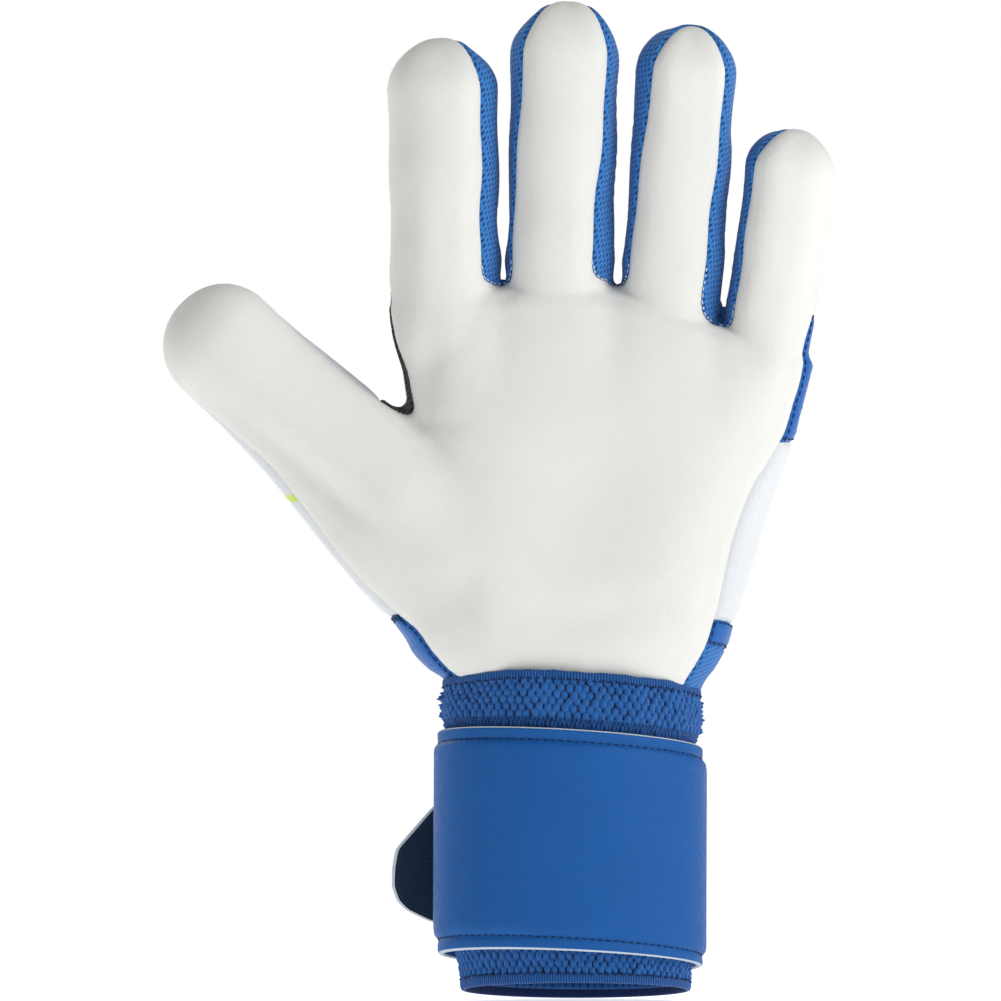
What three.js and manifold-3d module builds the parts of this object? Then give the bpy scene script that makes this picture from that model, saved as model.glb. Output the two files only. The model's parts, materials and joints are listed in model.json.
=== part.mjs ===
// A goalkeeper glove for the left hand, standing as if worn, fingers up (+Z) and palm forward (-Y).
// The origin is the centre of the wrist opening's rim. The thumb points to -X. Millimetres.
//
// Shells are made whole, as an outer shape minus the hand's space inside it, and are then cut along the
// seams and across the folds. A fold is a V-shaped gap on the palm side that closes as the digit bends.
import * as THREE from "three";
import { mergeVertices } from "three/addons/utils/BufferGeometryUtils.js";
import Module from "manifold-3d";

const wasm = await Module();
wasm.setup();

// ---- Driving dimensions -------------------------------------------------------------------------

const GAP = 0.3; // between pieces that are sewn or stuck together
const FAR = 400; // longer than the glove: how far a cutting region reaches
const SECTION_POINTS = 16; // points round a digit's or the palm's section
const TUBE_SIDES = 40; // sides of the cuff's tubes
const DOME_TURNS = [0, 32, 57, 80]; // degrees round a fingertip's dome
const SQUARENESS = 2.7; // 2 is an ellipse, more is a rounded box

const LATEX_WALL = 5.5; // palm latex with its foam backing
const BACK_WALL = 4; // backhand foam and its face
const SIDE_WALL = 2.4; // gusset mesh with its lining
const TIP_WALL = 4.5; // at the end of a digit
const SEAM_DEPTH = 7.8; // seams lie this far in front of and behind a digit's middle line

// Digits: where the line starts inside the palm and where the glove's tip is, in the plane X, Z, then
// half the width, depth in front of and behind the line, and the heights of the two folds.
const FINGERS = [
  { name: "index", root: [-35, 180], tip: [-37.2, 270.6], half: 15.4, folds: [220, 245] },
  { name: "middle", root: [-3.7, 177], tip: [-0.3, 281], half: 15.2, folds: [225, 253] },
  { name: "ring", root: [27, 173], tip: [35.2, 274.3], half: 14, folds: [221, 248] },
  { name: "pinky", root: [53.3, 167], tip: [65, 244.1], half: 12.6, folds: [203, 223] },
];
const FINGER_FRONT = 13;
const FINGER_BACK = 11.5;
const FINGER_CURL = 5; // how far the tip leans towards the palm side

const THUMB = { root: [-26.3, 114.2], tip: [-111.6, 194.1] };
const THUMB_CURL = 4;
const THUMB_FOLDS = [55, 85]; // distances along the thumb's line
// Along the thumb: distance, half width, depth in front, depth behind.
const THUMB_STATIONS = [
  [0, 15, 16, 14],
  [18, 22.5, 17, 15],
  [33, 22.5, 17, 15],
  [48, 20.6, 16, 14],
  [68, 18.2, 14, 12.5],
  [84, 17, 13.5, 12],
];

// The palm from the wrist up: height, left and right edge, depth in front and behind, and how much the
// section's height drops for each millimetre towards the little finger.
const PALM_STATIONS = [
  [70, -36, 38.5, 23, 21, 0],
  [100, -43, 44.5, 23, 20, 0],
  [118, -49, 50.5, 21, 19, -0.02],
  [138, -50.5, 57.5, 20, 18, -0.05],
  [158, -48, 64.5, 19, 17.5, -0.1],
  [176, -49.5, 69, 17, 16.5, -0.14],
  [190, -51, 71.2, 15, 14.5, -0.17],
  [199.6, -51.5, 71.5, 13.5, 13, -0.17],
];
const KNUCKLE_SLOPE = -0.17;
const KNUCKLE_WALL = 3; // across the crotches between the fingers
const PANEL_TOP = 199.9; // the knuckle panel's top edge, on the slope of the knuckles
const PALM_SEAM_Y = -9;
const PALM_BOTTOM = 87.9;
const TAPE = { bottom: 96.4, top: 103.1 }; // the band across the back, above the mesh strip
const CROTCH = { left: -64, right: -36, bottom: 152 }; // the gusset between thumb and index
const THUMB_PATCH = { right: -34, bottom: 92, top: 105 }; // on the thumb's side of the wrist
// Between the roots of two fingers: the crotch gusset's left and right ends.
const CROTCHES = [
  { name: "index_middle_crotch", left: -33, right: -5.7 },
  { name: "middle_ring_crotch", left: 2.3, right: 25 },
  { name: "ring_pinky_crotch", left: 34, right: 52.3 },
];
const INDEX_SIDE = -37; // left of this the palm's latex wraps round the index finger
const PINKY_SIDE = 56.3; // and right of this round the little finger

const FLEX = { knuckles: 65, finger: 80, tip: 48, thumb: 40, thumbTip: 55, wrist: 15 };
const KNUCKLES_BACK = 10; // how far the knuckles bend backwards
const FLEX_MARGIN = 3; // degrees of room left when a fold is closed

const KNUCKLE_FOLD = { at: [8, -5, 173], lean: 8.5 };
const FOLD_Y = -4; // the folds lie nearer the palm side than the middle

// The cuff leans: each level drops towards the little finger and towards the back.
const CUFF_DROP_X = -0.06;
const CUFF_DROP_Y = -0.14;
const WRIST_FOLD_Z = 79;
const BANDAGE = { wide: 36.5, deep: 23.5, wall: 2, bottom: 4.1, top: 79, taper: 0.92 };
const TOP_HEM = { wide: 38, deep: 24, wall: 3, bottom: 78, top: 87.5 };
const BOTTOM_HEM = { wide: 34.4, deep: 22.4, wall: 3.4, bottom: 0, top: 3.8 };
const STRAP = { wide: 40, deep: 27, wall: 3, bottom: 6.6, top: 70.1 };
const FLAP = { x: -2, wide: 42.2, deep: 33.8, wall: 2.8 };
const STRAP_SPLIT_Y = 3; // the strap's moving end starts here, on the little finger's side
const STRAP_SEWN_X = 20; // and its sewn end stops here, on the back
const PATCH = { bottom: 16, top: 62, from: -22, to: 10, thick: 1 };
const TAB = { x: -25.8, y: 25.6, long: 26, thick: 2.6, bottom: 19, top: 53, tip: 14, lean: 25 };

// ---- Materials ----------------------------------------------------------------------------------

const finish = (color, roughness) => new THREE.MeshStandardMaterial({ color, roughness, metalness: 0 });
const LATEX = finish("#e8e8e2", 0.75);
const WHITE = finish("#eef2f5", 0.5);
const BLUE = finish("#1e5a99", 0.5);
const MESH_BLUE = finish("#3f72b8", 0.85);
const KNIT = finish("#21558f", 0.9);
const CHARCOAL = finish("#3a3c3e", 0.8);
const NAVY = finish("#12283f", 0.7);

// ---- From three.js geometry to solids, and back ---------------------------------------------------

// A closed three.js geometry as a manifold-3d solid.
function solid(geometry, matrix = new THREE.Matrix4()) {
  const bare = new THREE.BufferGeometry();
  bare.setAttribute("position", geometry.getAttribute("position").clone());
  if (geometry.index) bare.setIndex(geometry.index);
  const merged = mergeVertices(bare.applyMatrix4(matrix), 1e-4);
  return new wasm.Manifold(
    new wasm.Mesh({
      numProp: 3,
      vertProperties: new Float32Array(merged.attributes.position.array),
      triVerts: new Uint32Array(merged.index.array),
    }),
  );
}

// The largest body of a solid: cutting can leave crumbs beside it.
function largest(made) {
  return made.decompose().reduce((a, b) => (a.volume() > b.volume() ? a : b));
}

// A named three.js mesh of a solid.
function meshOf(name, made, material, matrix = new THREE.Matrix4()) {
  const { numProp, numVert, vertProperties, triVerts } = largest(made).getMesh();
  const position = new Float32Array(numVert * 3);
  for (let i = 0; i < numVert; i++) {
    position.set(vertProperties.subarray(i * numProp, i * numProp + 3), i * 3);
  }
  const geometry = new THREE.BufferGeometry();
  geometry.setAttribute("position", new THREE.BufferAttribute(position, 3));
  geometry.setIndex(new THREE.BufferAttribute(triVerts, 1));
  geometry.applyMatrix4(matrix);
  const mesh = new THREE.Mesh(geometry, material);
  mesh.name = name;
  return mesh;
}

const union = (...parts) => parts.reduce((a, b) => a.add(b));

// ---- Shapes ---------------------------------------------------------------------------------------

// Points round a rounded box, front deep towards -Y and back deep towards +Y.
function ring(centre, across, half, front, back) {
  return Array.from({ length: SECTION_POINTS }, (_, i) => {
    const turn = (2 * Math.PI * (i + 0.5)) / SECTION_POINTS;
    const power = (v) => Math.sign(v) * Math.abs(v) ** (2 / SQUARENESS);
    const aside = half * power(Math.cos(turn));
    const deep = (Math.sin(turn) < 0 ? front : back) * power(Math.sin(turn));
    return new THREE.Vector3(centre.x, centre.y + deep, centre.z).addScaledVector(across, aside);
  });
}

// A closed body through rings of points, with a flat cap on each end.
function loft(rings) {
  const n = rings[0].length;
  const points = rings.flat();
  const middle = (r) => r.reduce((sum, p) => sum.add(p), new THREE.Vector3()).divideScalar(n);
  const first = points.push(middle(rings[0])) - 1;
  const last = points.push(middle(rings.at(-1))) - 1;
  const index = [];
  for (let i = 0; i < n; i++) {
    const j = (i + 1) % n;
    for (let k = 0; k + 1 < rings.length; k++) {
      const [a, b, c, d] = [k * n + i, k * n + j, (k + 1) * n + j, (k + 1) * n + i];
      index.push(a, b, c, a, c, d);
    }
    const top = (rings.length - 1) * n;
    index.push(first, j, i, last, top + i, top + j);
  }
  const geometry = new THREE.BufferGeometry().setFromPoints(points);
  geometry.setIndex(index);
  return solid(geometry);
}

function box(x0, x1, y0, y1, z0, z1, matrix) {
  const place = new THREE.Matrix4().makeTranslation((x0 + x1) / 2, (y0 + y1) / 2, (z0 + z1) / 2);
  return solid(new THREE.BoxGeometry(x1 - x0, y1 - y0, z1 - z0), matrix ? place.premultiply(matrix) : place);
}

// An upright elliptical tube. taper is the bottom's size over the top's.
function tube({ x = 0, wide, deep, wall, bottom, top, taper = 1 }) {
  const geometry = (w, d, low, high) =>
    solid(
      new THREE.CylinderGeometry(1, taper, 1, TUBE_SIDES),
      new THREE.Matrix4()
        .makeTranslation(x, 0, (low + high) / 2)
        .multiply(new THREE.Matrix4().makeScale(w, d, high - low))
        .multiply(new THREE.Matrix4().makeRotationX(Math.PI / 2)),
    );
  const outer = geometry(wide, deep, bottom, top);
  return outer.subtract(geometry(wide - wall, deep - wall, bottom - 1, top + 1));
}

const shear = (dropX, dropY = 0) => new THREE.Matrix4().makeShear(0, dropX, 0, dropY, 0, 0);

// A digit's line: a point and the sideways direction at a distance along it. It leans towards the palm.
function lineOf(root, tip, curl) {
  const from = new THREE.Vector3(root[0], 0, root[1]);
  const along = new THREE.Vector3(tip[0], 0, tip[1]).sub(from);
  const long = along.length();
  along.normalize();
  const across = new THREE.Vector3(along.z, 0, -along.x);
  const at = (s) => from.clone().addScaledVector(along, s).setY(-curl * (s / long) ** 2);
  return { long, along, across, at };
}

// A digit's body: its stations, then a dome whose radius is the last half width.
function digit(line, stations, walls) {
  const [side, front, back, end] = walls;
  const shrink = ([s, half, f, b]) => [s, half - side, f - front, b - back];
  const rows = stations.map(shrink);
  const [, half, f, b] = rows.at(-1);
  const start = line.long - stations.at(-1)[1];
  const reach = line.long - end - start;
  for (const turn of DOME_TURNS) {
    const t = THREE.MathUtils.degToRad(turn);
    const k = Math.cos(t);
    rows.push([start + reach * Math.sin(t), half * k, f * k ** 0.8, b * k ** 0.8]);
  }
  return loft(rows.map(([s, h, fr, ba]) => ring(line.at(s), line.across, h, fr, ba)));
}

const WALLS = [SIDE_WALL, LATEX_WALL, BACK_WALL, TIP_WALL];
const SOLID = [0, 0, 0, 0];

// The space on the far side (side = 1) or the near side (side = -1) of a fold. along points to the piece
// that moves. The gap opens by bend degrees towards the palm and by back degrees behind.
function fold(at, along, bend, back = 0) {
  const axis = new THREE.Vector3(0, 1, 0).cross(along);
  const open = (degrees) => (degrees ? FAR * Math.tan(THREE.MathUtils.degToRad((degrees + FLEX_MARGIN) / 2)) : 0);
  return (side) => {
    const shape = new THREE.Shape([
      new THREE.Vector2(-FAR, side * (GAP + open(bend))),
      new THREE.Vector2(0, side * GAP),
      new THREE.Vector2(FAR, side * (GAP + open(back))),
      new THREE.Vector2(FAR, side * 2 * FAR),
      new THREE.Vector2(-FAR, side * 2 * FAR),
    ]);
    const geometry = new THREE.ExtrudeGeometry(shape, { depth: 2 * FAR, bevelEnabled: false });
    geometry.translate(0, 0, -FAR);
    const basis = new THREE.Matrix4().makeBasis(new THREE.Vector3(0, 1, 0), along, axis);
    return solid(geometry, basis.setPosition(at));
  };
}

const UP = new THREE.Vector3(0, 0, 1);

// ---- The hand and its digits ------------------------------------------------------------------------

// The palm as a body, with walls of these thicknesses left out of it.
function palmBody(side, front, back, top) {
  return loft(
    PALM_STATIONS.map(([z, left, right, f, b, slope], i) => {
      const last = i === PALM_STATIONS.length - 1;
      const middle = new THREE.Vector3((left + right) / 2, 0, 0);
      middle.z = z + slope * middle.x - (last ? top : 0);
      const across = new THREE.Vector3(1, 0, slope);
      return ring(middle, across, (right - left) / 2 - side, f - front, b - back);
    }),
  );
}

const palmOuter = palmBody(0, 0, 0, 0);
const palmInner = palmBody(SIDE_WALL, LATEX_WALL, BACK_WALL, KNUCKLE_WALL);

const fingers = FINGERS.map((f) => {
  const line = lineOf(f.root, f.tip, FINGER_CURL);
  const straight = line.long - f.half;
  const stations = [0, 0.5, 0.84].map((share) => [share * straight, f.half, FINGER_FRONT, FINGER_BACK]);
  const [outer, inner] = [SOLID, WALLS].map((walls) => digit(line, stations, walls));
  const foldAt = (z) => {
    const s = (z - f.root[1]) / line.along.z;
    const at = line.at(s);
    return { s, at: at.setY(at.y + FOLD_Y) };
  };
  const [near, far] = f.folds.map(foldAt);
  return {
    ...f,
    line,
    outer,
    inner,
    shell: outer.subtract(inner),
    near: fold(near.at, UP, FLEX.finger),
    far: fold(far.at, UP, FLEX.tip),
    middleAt: line.at((near.s + far.s) / 2),
    tipAt: line.at((far.s + line.long) / 2),
  };
});

const thumbLine = lineOf(THUMB.root, THUMB.tip, THUMB_CURL);
const thumbOuter = digit(thumbLine, THUMB_STATIONS, SOLID);
const thumbInner = digit(thumbLine, THUMB_STATIONS, WALLS);
const [thumbNear, thumbFar] = [FLEX.thumb, FLEX.thumbTip].map((bend, i) => {
  const at = thumbLine.at(THUMB_FOLDS[i]);
  return fold(at.setY(at.y + FOLD_Y), thumbLine.along, bend);
});

const lean = THREE.MathUtils.degToRad(KNUCKLE_FOLD.lean);
const knuckleFold = fold(
  new THREE.Vector3(...KNUCKLE_FOLD.at),
  new THREE.Vector3(Math.sin(lean), 0, Math.cos(lean)),
  FLEX.knuckles,
  KNUCKLES_BACK,
);

const handShell = union(palmOuter, thumbOuter.intersect(thumbNear(-1)))
  .subtract(union(palmInner, thumbInner, ...fingers.map((f) => f.inner)))
  .intersect(knuckleFold(-1))
  .intersect(box(-FAR, FAR, -FAR, FAR, PALM_BOTTOM, FAR));

const knuckleShell = union(palmOuter, ...fingers.map((f) => f.outer.intersect(f.near(-1))))
  .subtract(union(palmInner, ...fingers.map((f) => f.inner)))
  .intersect(knuckleFold(1));

// Regions, as boxes whose unstated sides reach far away.
const region = ({ x = [-FAR, FAR], y = [-FAR, FAR], z = [-FAR, FAR] }, matrix) => box(...x, ...y, ...z, matrix);

function handParts() {
  // The two side patches: each one's own region, or with room for the gap round it.
  const crotch = (room) =>
    region({
      x: [CROTCH.left - room, CROTCH.right + room],
      y: [-FAR, SEAM_DEPTH + room],
      z: [CROTCH.bottom - room, FAR],
    });
  const patch = (room) =>
    region({
      x: [-FAR, THUMB_PATCH.right + room],
      y: [-FAR, SEAM_DEPTH + room],
      z: [THUMB_PATCH.bottom - room, THUMB_PATCH.top + room],
    });
  const behind = handShell.intersect(region({ y: [PALM_SEAM_Y + GAP, FAR] }));
  const panels = behind.subtract(union(crotch(GAP), patch(GAP)));
  const level = (low, high) => panels.intersect(region({ z: [low, high] }));
  return [
    meshOf("palm_latex", handShell.intersect(region({ y: [-FAR, PALM_SEAM_Y] })), LATEX),
    meshOf("backhand_panel", level(TAPE.top + GAP, FAR), WHITE),
    meshOf("backhand_tape", level(TAPE.bottom, TAPE.top), BLUE),
    meshOf("backhand_mesh", level(PALM_BOTTOM, TAPE.bottom - GAP), MESH_BLUE),
    meshOf("thumb_gusset", behind.intersect(crotch(0)), CHARCOAL),
    meshOf("thumb_base_patch", behind.intersect(patch(0)), BLUE),
  ];
}

function knuckleParts() {
  const front = region({ y: [-FAR, -SEAM_DEPTH] });
  const indexSide = region({ x: [-FAR, INDEX_SIDE], y: [-FAR, SEAM_DEPTH] });
  const fingerLine = shear(KNUCKLE_SLOPE);
  const below = [-FAR, PANEL_TOP];
  const above = [PANEL_TOP + GAP, FAR];
  const outerSide = [PINKY_SIDE, FAR];
  const pinkySide = region({ x: outerSide, y: [-FAR, SEAM_DEPTH], z: above }, fingerLine);
  const belowFingers = region({ y: [SEAM_DEPTH + GAP, FAR], z: below }, fingerLine);
  const pinkyWrap = region({ x: outerSide, y: [-SEAM_DEPTH + GAP, FAR], z: below }, fingerLine);
  return [
    meshOf("knuckle_latex", knuckleShell.intersect(union(front, indexSide, pinkySide)), LATEX),
    meshOf("knuckle_panel", knuckleShell.intersect(union(belowFingers, pinkyWrap)), BLUE),
    ...CROTCHES.map(({ name, left, right }) => {
      const between = region({ x: [left, right], y: [-SEAM_DEPTH + GAP, SEAM_DEPTH] });
      return meshOf(name, knuckleShell.intersect(between), MESH_BLUE);
    }),
    ...fingers.map((f) => {
      const behind = region({ y: [SEAM_DEPTH + GAP, FAR], z: above }, fingerLine);
      return meshOf(`${f.name}_back_base`, f.shell.intersect(behind).intersect(f.near(-1)), WHITE);
    }),
  ];
}

// One stretch of a finger, cut along its seams: the palm-side latex, the back and the side gussets.
function fingerStretch(f, name, shell, centre) {
  const { x, y } = centre;
  const front = region({ y: [-FAR, y - SEAM_DEPTH] });
  const left = region({ x: [-FAR, x - GAP / 2], y: [-FAR, y + SEAM_DEPTH] });
  const right = region({ x: [x + GAP / 2, FAR], y: [-FAR, y + SEAM_DEPTH] });
  const sides = region({ y: [y - SEAM_DEPTH + GAP, y + SEAM_DEPTH] });
  const latexSide = { index: left, pinky: right }[f.name];
  const open = { index: right, pinky: left }[f.name];
  const pad = latexSide ? union(front, latexSide) : front;
  const made = [
    meshOf(`${f.name}_${name}_latex`, shell.intersect(pad), LATEX),
    meshOf(`${f.name}_${name}_back`, shell.intersect(region({ y: [y + SEAM_DEPTH + GAP, FAR] })), WHITE),
  ];
  const gusset = (end, part) => made.push(meshOf(`${f.name}_${name}_gusset${end}`, part, MESH_BLUE));
  const walls = shell.intersect(sides);
  if (open) gusset("", walls.intersect(open));
  else if (name === "tip") gusset("", walls);
  else {
    gusset("_left", walls.intersect(left));
    gusset("_right", walls.intersect(right));
  }
  return made;
}

function fingerParts(f) {
  const middle = f.shell.intersect(f.near(1)).intersect(f.far(-1));
  return {
    middle: fingerStretch(f, "middle", middle, f.middleAt),
    tip: fingerStretch(f, "tip", f.shell.intersect(f.far(1)), f.tipAt),
  };
}

function thumbParts() {
  const shell = thumbOuter.subtract(thumbInner);
  const [middle, tip] = [thumbNear(1).intersect(thumbFar(-1)), thumbFar(1)];
  const seam = (s) => thumbLine.at(s).y + 2;
  const cut = (name, part, y) => [
    meshOf(`${name}_latex`, shell.intersect(part).intersect(region({ y: [-FAR, y] })), LATEX),
    meshOf(`${name}_back`, shell.intersect(part).intersect(region({ y: [y + GAP, FAR] })), WHITE),
  ];
  return { middle: cut("thumb_middle", middle, seam(70)), tip: cut("thumb_tip", tip, seam(100)) };
}

// ---- The cuff ---------------------------------------------------------------------------------------

function cuffParts() {
  const leaning = shear(CUFF_DROP_X, CUFF_DROP_Y);
  const wrist = fold(new THREE.Vector3(0, 0, WRIST_FOLD_Z), UP.clone().negate(), FLEX.wrist, FLEX.wrist);
  const strap = tube(STRAP);
  const fixed = union(region({ y: [-FAR, STRAP_SPLIT_Y] }), region({ x: [-FAR, STRAP_SEWN_X] }));
  const flap = tube({ ...STRAP, ...FLAP }).intersect(region({ x: [TAB.x, FAR], y: [STRAP_SPLIT_Y + GAP, FAR] }));
  // A thin patch on the back, between two ellipses.
  const patch = ({ x = 0, wide, deep }, outwards) =>
    tube({ x, wide: wide + outwards, deep: deep + outwards, wall: PATCH.thick, ...PATCH }).intersect(
      region({ x: [PATCH.from, PATCH.to], y: [0, FAR] }),
    );
  const inside = { x: FLAP.x, wide: FLAP.wide - FLAP.wall, deep: FLAP.deep - FLAP.wall };
  const sloped = (tubeSize) => solidOfLeaning(tube(tubeSize), leaning);
  return {
    hand: [meshOf("bandage_top_hem", tube(TOP_HEM).intersect(wrist(-1)), KNIT)],
    cuff: [
      meshOf("wrist_bandage", sloped(BANDAGE).intersect(wrist(1)), KNIT),
      meshOf("bandage_bottom_hem", tube(BOTTOM_HEM), KNIT, leaning),
      meshOf("strap_band", strap.intersect(fixed), BLUE, leaning),
      meshOf("loop_patch", patch(STRAP, GAP + PATCH.thick), NAVY, leaning),
    ],
    flap: [
      meshOf("strap_flap", flap, BLUE, leaning),
      meshOf("hook_patch", patch(inside, -GAP), NAVY, leaning),
    ],
    tab: [meshOf("pull_tab", pullTab(), NAVY, leaning)],
  };
}

// A solid moved by a matrix that leans it.
function solidOfLeaning(made, matrix) {
  return made.transform(matrix.elements);
}

// The strap's free end: a flat tongue with its corners cut off, standing away from the thumb's side.
function pullTab() {
  const outline = new THREE.Shape([
    new THREE.Vector2(GAP, TAB.bottom),
    new THREE.Vector2(TAB.long - 9, TAB.bottom),
    new THREE.Vector2(TAB.long, TAB.bottom + 8),
    new THREE.Vector2(TAB.long, TAB.bottom + 8 + TAB.tip),
    new THREE.Vector2(TAB.long - 9, TAB.top),
    new THREE.Vector2(GAP, TAB.top),
  ]);
  const geometry = new THREE.ExtrudeGeometry(outline, { depth: TAB.thick, bevelEnabled: false });
  const slope = THREE.MathUtils.degToRad(TAB.lean);
  const along = new THREE.Vector3(-Math.cos(slope), -Math.sin(slope), 0);
  const basis = new THREE.Matrix4().makeBasis(along, UP, along.clone().cross(UP));
  return solid(geometry, basis.setPosition(TAB.x, TAB.y, 0));
}

// ---- Assembly -----------------------------------------------------------------------------------------

function body(parts) {
  const group = new THREE.Group();
  group.add(...parts);
  return group;
}

const glove = new THREE.Group();
const cuff = cuffParts();
const thumb = thumbParts();
glove.add(body([...handParts(), ...cuff.hand]), body(knuckleParts()));
for (const f of fingers) {
  const { middle, tip } = fingerParts(f);
  glove.add(body(middle), body(tip));
}
glove.add(body(thumb.middle), body(thumb.tip), body(cuff.cuff), body(cuff.flap), body(cuff.tab));

export default glove;
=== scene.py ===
"""A goalkeeper's left glove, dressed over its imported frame: palm latex, mesh gussets, a padded back, a knit
wrist bandage and a stitched strap. Lengths in this script are millimetres until a mesh is made."""

import json
import math

import bpy
import numpy as np
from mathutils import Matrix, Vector, kdtree


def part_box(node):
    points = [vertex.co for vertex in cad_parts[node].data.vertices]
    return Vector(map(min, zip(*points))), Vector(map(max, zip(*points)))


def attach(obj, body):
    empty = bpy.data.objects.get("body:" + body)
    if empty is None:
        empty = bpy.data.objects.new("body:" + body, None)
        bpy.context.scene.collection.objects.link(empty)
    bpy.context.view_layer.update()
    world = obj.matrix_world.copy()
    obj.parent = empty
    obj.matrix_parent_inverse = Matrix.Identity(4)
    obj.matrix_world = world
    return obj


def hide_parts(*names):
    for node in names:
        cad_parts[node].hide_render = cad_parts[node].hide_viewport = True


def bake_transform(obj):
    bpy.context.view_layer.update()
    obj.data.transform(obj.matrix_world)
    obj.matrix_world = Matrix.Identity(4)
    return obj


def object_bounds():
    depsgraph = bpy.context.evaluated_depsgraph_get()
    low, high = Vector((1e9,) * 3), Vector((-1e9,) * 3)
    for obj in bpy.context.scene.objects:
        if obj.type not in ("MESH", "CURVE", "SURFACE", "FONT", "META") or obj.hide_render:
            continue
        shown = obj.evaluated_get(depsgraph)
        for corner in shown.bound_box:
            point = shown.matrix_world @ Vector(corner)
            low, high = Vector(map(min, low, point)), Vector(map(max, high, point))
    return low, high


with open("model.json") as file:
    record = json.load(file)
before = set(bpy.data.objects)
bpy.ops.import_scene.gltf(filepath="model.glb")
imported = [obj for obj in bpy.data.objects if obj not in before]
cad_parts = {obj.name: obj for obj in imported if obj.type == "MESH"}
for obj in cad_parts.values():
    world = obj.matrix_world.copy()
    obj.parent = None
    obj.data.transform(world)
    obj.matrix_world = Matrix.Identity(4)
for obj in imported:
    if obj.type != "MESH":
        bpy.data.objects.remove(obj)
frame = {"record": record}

CAD_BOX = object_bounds()
MM = 0.001

# ---- Driving dimensions ----

GRID = 1.0  # spacing of the grid that the hand's surface is drawn from
SQUARENESS = 2.35  # of a digit's section: 2 is an ellipse
PALM_SQUARENESS = 2.6
FOLD_Y = -4.0  # a fold's axis lies this far in front of its digit's middle
BACK_SEAM = 7.8  # the seam between gusset and back, behind a finger's middle

# Where the palm's seam runs on the thumb's side and on the little finger's: height, and its y.
LEFT_SEAM = [
    (86, -9.5), (96, -11.5), (120, -10.5), (158, -9), (166, -7.5), (176, -6), (190, -3.5), (198, 0), (202, 4),
    (206, BACK_SEAM),
]
RIGHT_SEAM = [
    (80, -11), (104, -12.5), (120, -13.5), (140, -12.8), (151, -10.5), (158, -8.6), (170, -8), (181, -7),
    (191, -4), (199, BACK_SEAM),
]

# Each finger: its half width, how much wider its root is, the height where its own pieces start, and the
# palm-side seam in front of its middle: on its two sides, at the root and at the tip, and over the tip.
# The hand's two outer sides follow the palm's own seam.
FINGERS = {
    "index": dict(half=15.7, wider=0.4, cut=205.5, left=LEFT_SEAM, right=(-11.0, -9.6), over_tip=4.0),
    "middle": dict(half=15.6, wider=0.1, cut=207.0, left=(-6.0, -8.2), right=(-11.6, -9.4), over_tip=5.0),
    "ring": dict(half=14.6, wider=0.1, cut=205.0, left=(-7.0, -9.6), right=(-11.2, -9.8), over_tip=-2.0),
    "pinky": dict(half=12.9, wider=0.0, cut=193.0, left=(-8.6, -7.5), right=RIGHT_SEAM, over_tip=1.0),
}
FINGER_FRONT = 13.4
FINGER_BACK = 11.8

# Along the thumb from its base fold: distance, half width, depth in front, depth behind.
THUMB_STATIONS = [
    (-60, 20, 14, 13),
    (-44, 23.6, 16.5, 14.5),
    (-32, 24.0, 17.5, 15.3),
    (-22, 23.2, 18, 15.5),
    (-7, 21, 16.5, 14.5),
    (13, 18.4, 14.6, 13),
    (30, 17.2, 13.8, 12.4),
]
THUMB_TIP = 31.9  # from the tip fold to the end
THUMB_CUT = -13.5  # the thumb's own pieces start here, from its base fold

# How far before and after its axis each digit's folds reach, and the knuckle fold's.
FOLD_REACH = {"index": 11.0, "middle": 11.0, "ring": 11.0, "pinky": 9.0, "thumb": 12.0}
KNUCKLE_REACH = (-13.0, 17.0)

# The palm from the wrist up: height, left and right edge, depth in front and behind.
PALM_STATIONS = [
    (60, -33.5, 35, 22.5, 21),
    (80, -33.4, 36, 21.4, 21),
    (85, -34.6, 38, 21.4, 20.8),
    (87.5, -36.4, 39.6, 21.4, 20.6),
    (90, -40.2, 41.6, 21.5, 20.5),
    (96, -45.4, 44.6, 22, 20),
    (104, -48, 47, 21.5, 19.6),
    (115, -49, 50.3, 21, 19),
    (126, -50.5, 53.8, 20.5, 18.6),
    (138, -49.5, 58, 20, 18.2),
    (149, -47.5, 62, 19.6, 17.8),
    (161, -47.2, 65.6, 19, 17.4),
    (172, -48.3, 68.4, 17.6, 16.6),
    (183, -49.8, 71, 15.8, 15.2),
    (195, -51.4, 72.2, 14.2, 13.6),
    (215, -51.8, 72.4, 13.6, 12.6),
]
# The top of the web between the fingers, from the index's side to the little finger's.
WEB = [(-60, 200), (-40, 202), (-17.7, 201.6), (0, 201.6), (14.3, 199.8), (28, 196), (42.8, 191.2), (75, 184)]
WEB_ROUND = 9.0
PALM_ROUND = (48.0, 20.0)  # half width and depth of the oval that the palm's weave runs round
CROTCH = (-43.8, 160.6)  # between thumb and index, in X and Z
CROTCH_WAY = (-0.917, -0.398)  # from there, square to the line that parts the thumb from the index

# Where the palm and the back swell or sink: centre in X and Z, half width, half height, and how far.
PALM_MOUNDS = [
    (-32, 112, 20, 24, 2.2),  # the ball of the thumb
    (30, 112, 17, 30, 1.6),  # the heel under the little finger
    (6, 138, 20, 24, -2.0),  # the hollow between them
    *[(-36, 184, 13, 12, 0.9), (-4, 186, 13, 12, 1.0), (27, 182, 13, 12, 0.9), (54, 172, 12, 12, 0.8)],
    *[(-20, 190, 5, 16, -0.9), (12, 190, 5, 16, -0.9), (41, 182, 5, 16, -0.8)],  # between the finger roots
    *[(-40, 178, 5, 17, -1.3), (-37, 160, 8, 3, -0.7)],  # slack at the thumb's crotch
]
BACK_MOUNDS = [(5, 150, 45, 38, 2.2)]  # the back of the hand is arched
# The slack latex dips along the thumb's root: a point on that valley, the way across it, its half width and
# half length, and its depth.
VALLEY = {"at": (-66, 138), "across": (0.66, 0.75), "wide": 7.5, "long": 30, "deep": 5.0}

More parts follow.
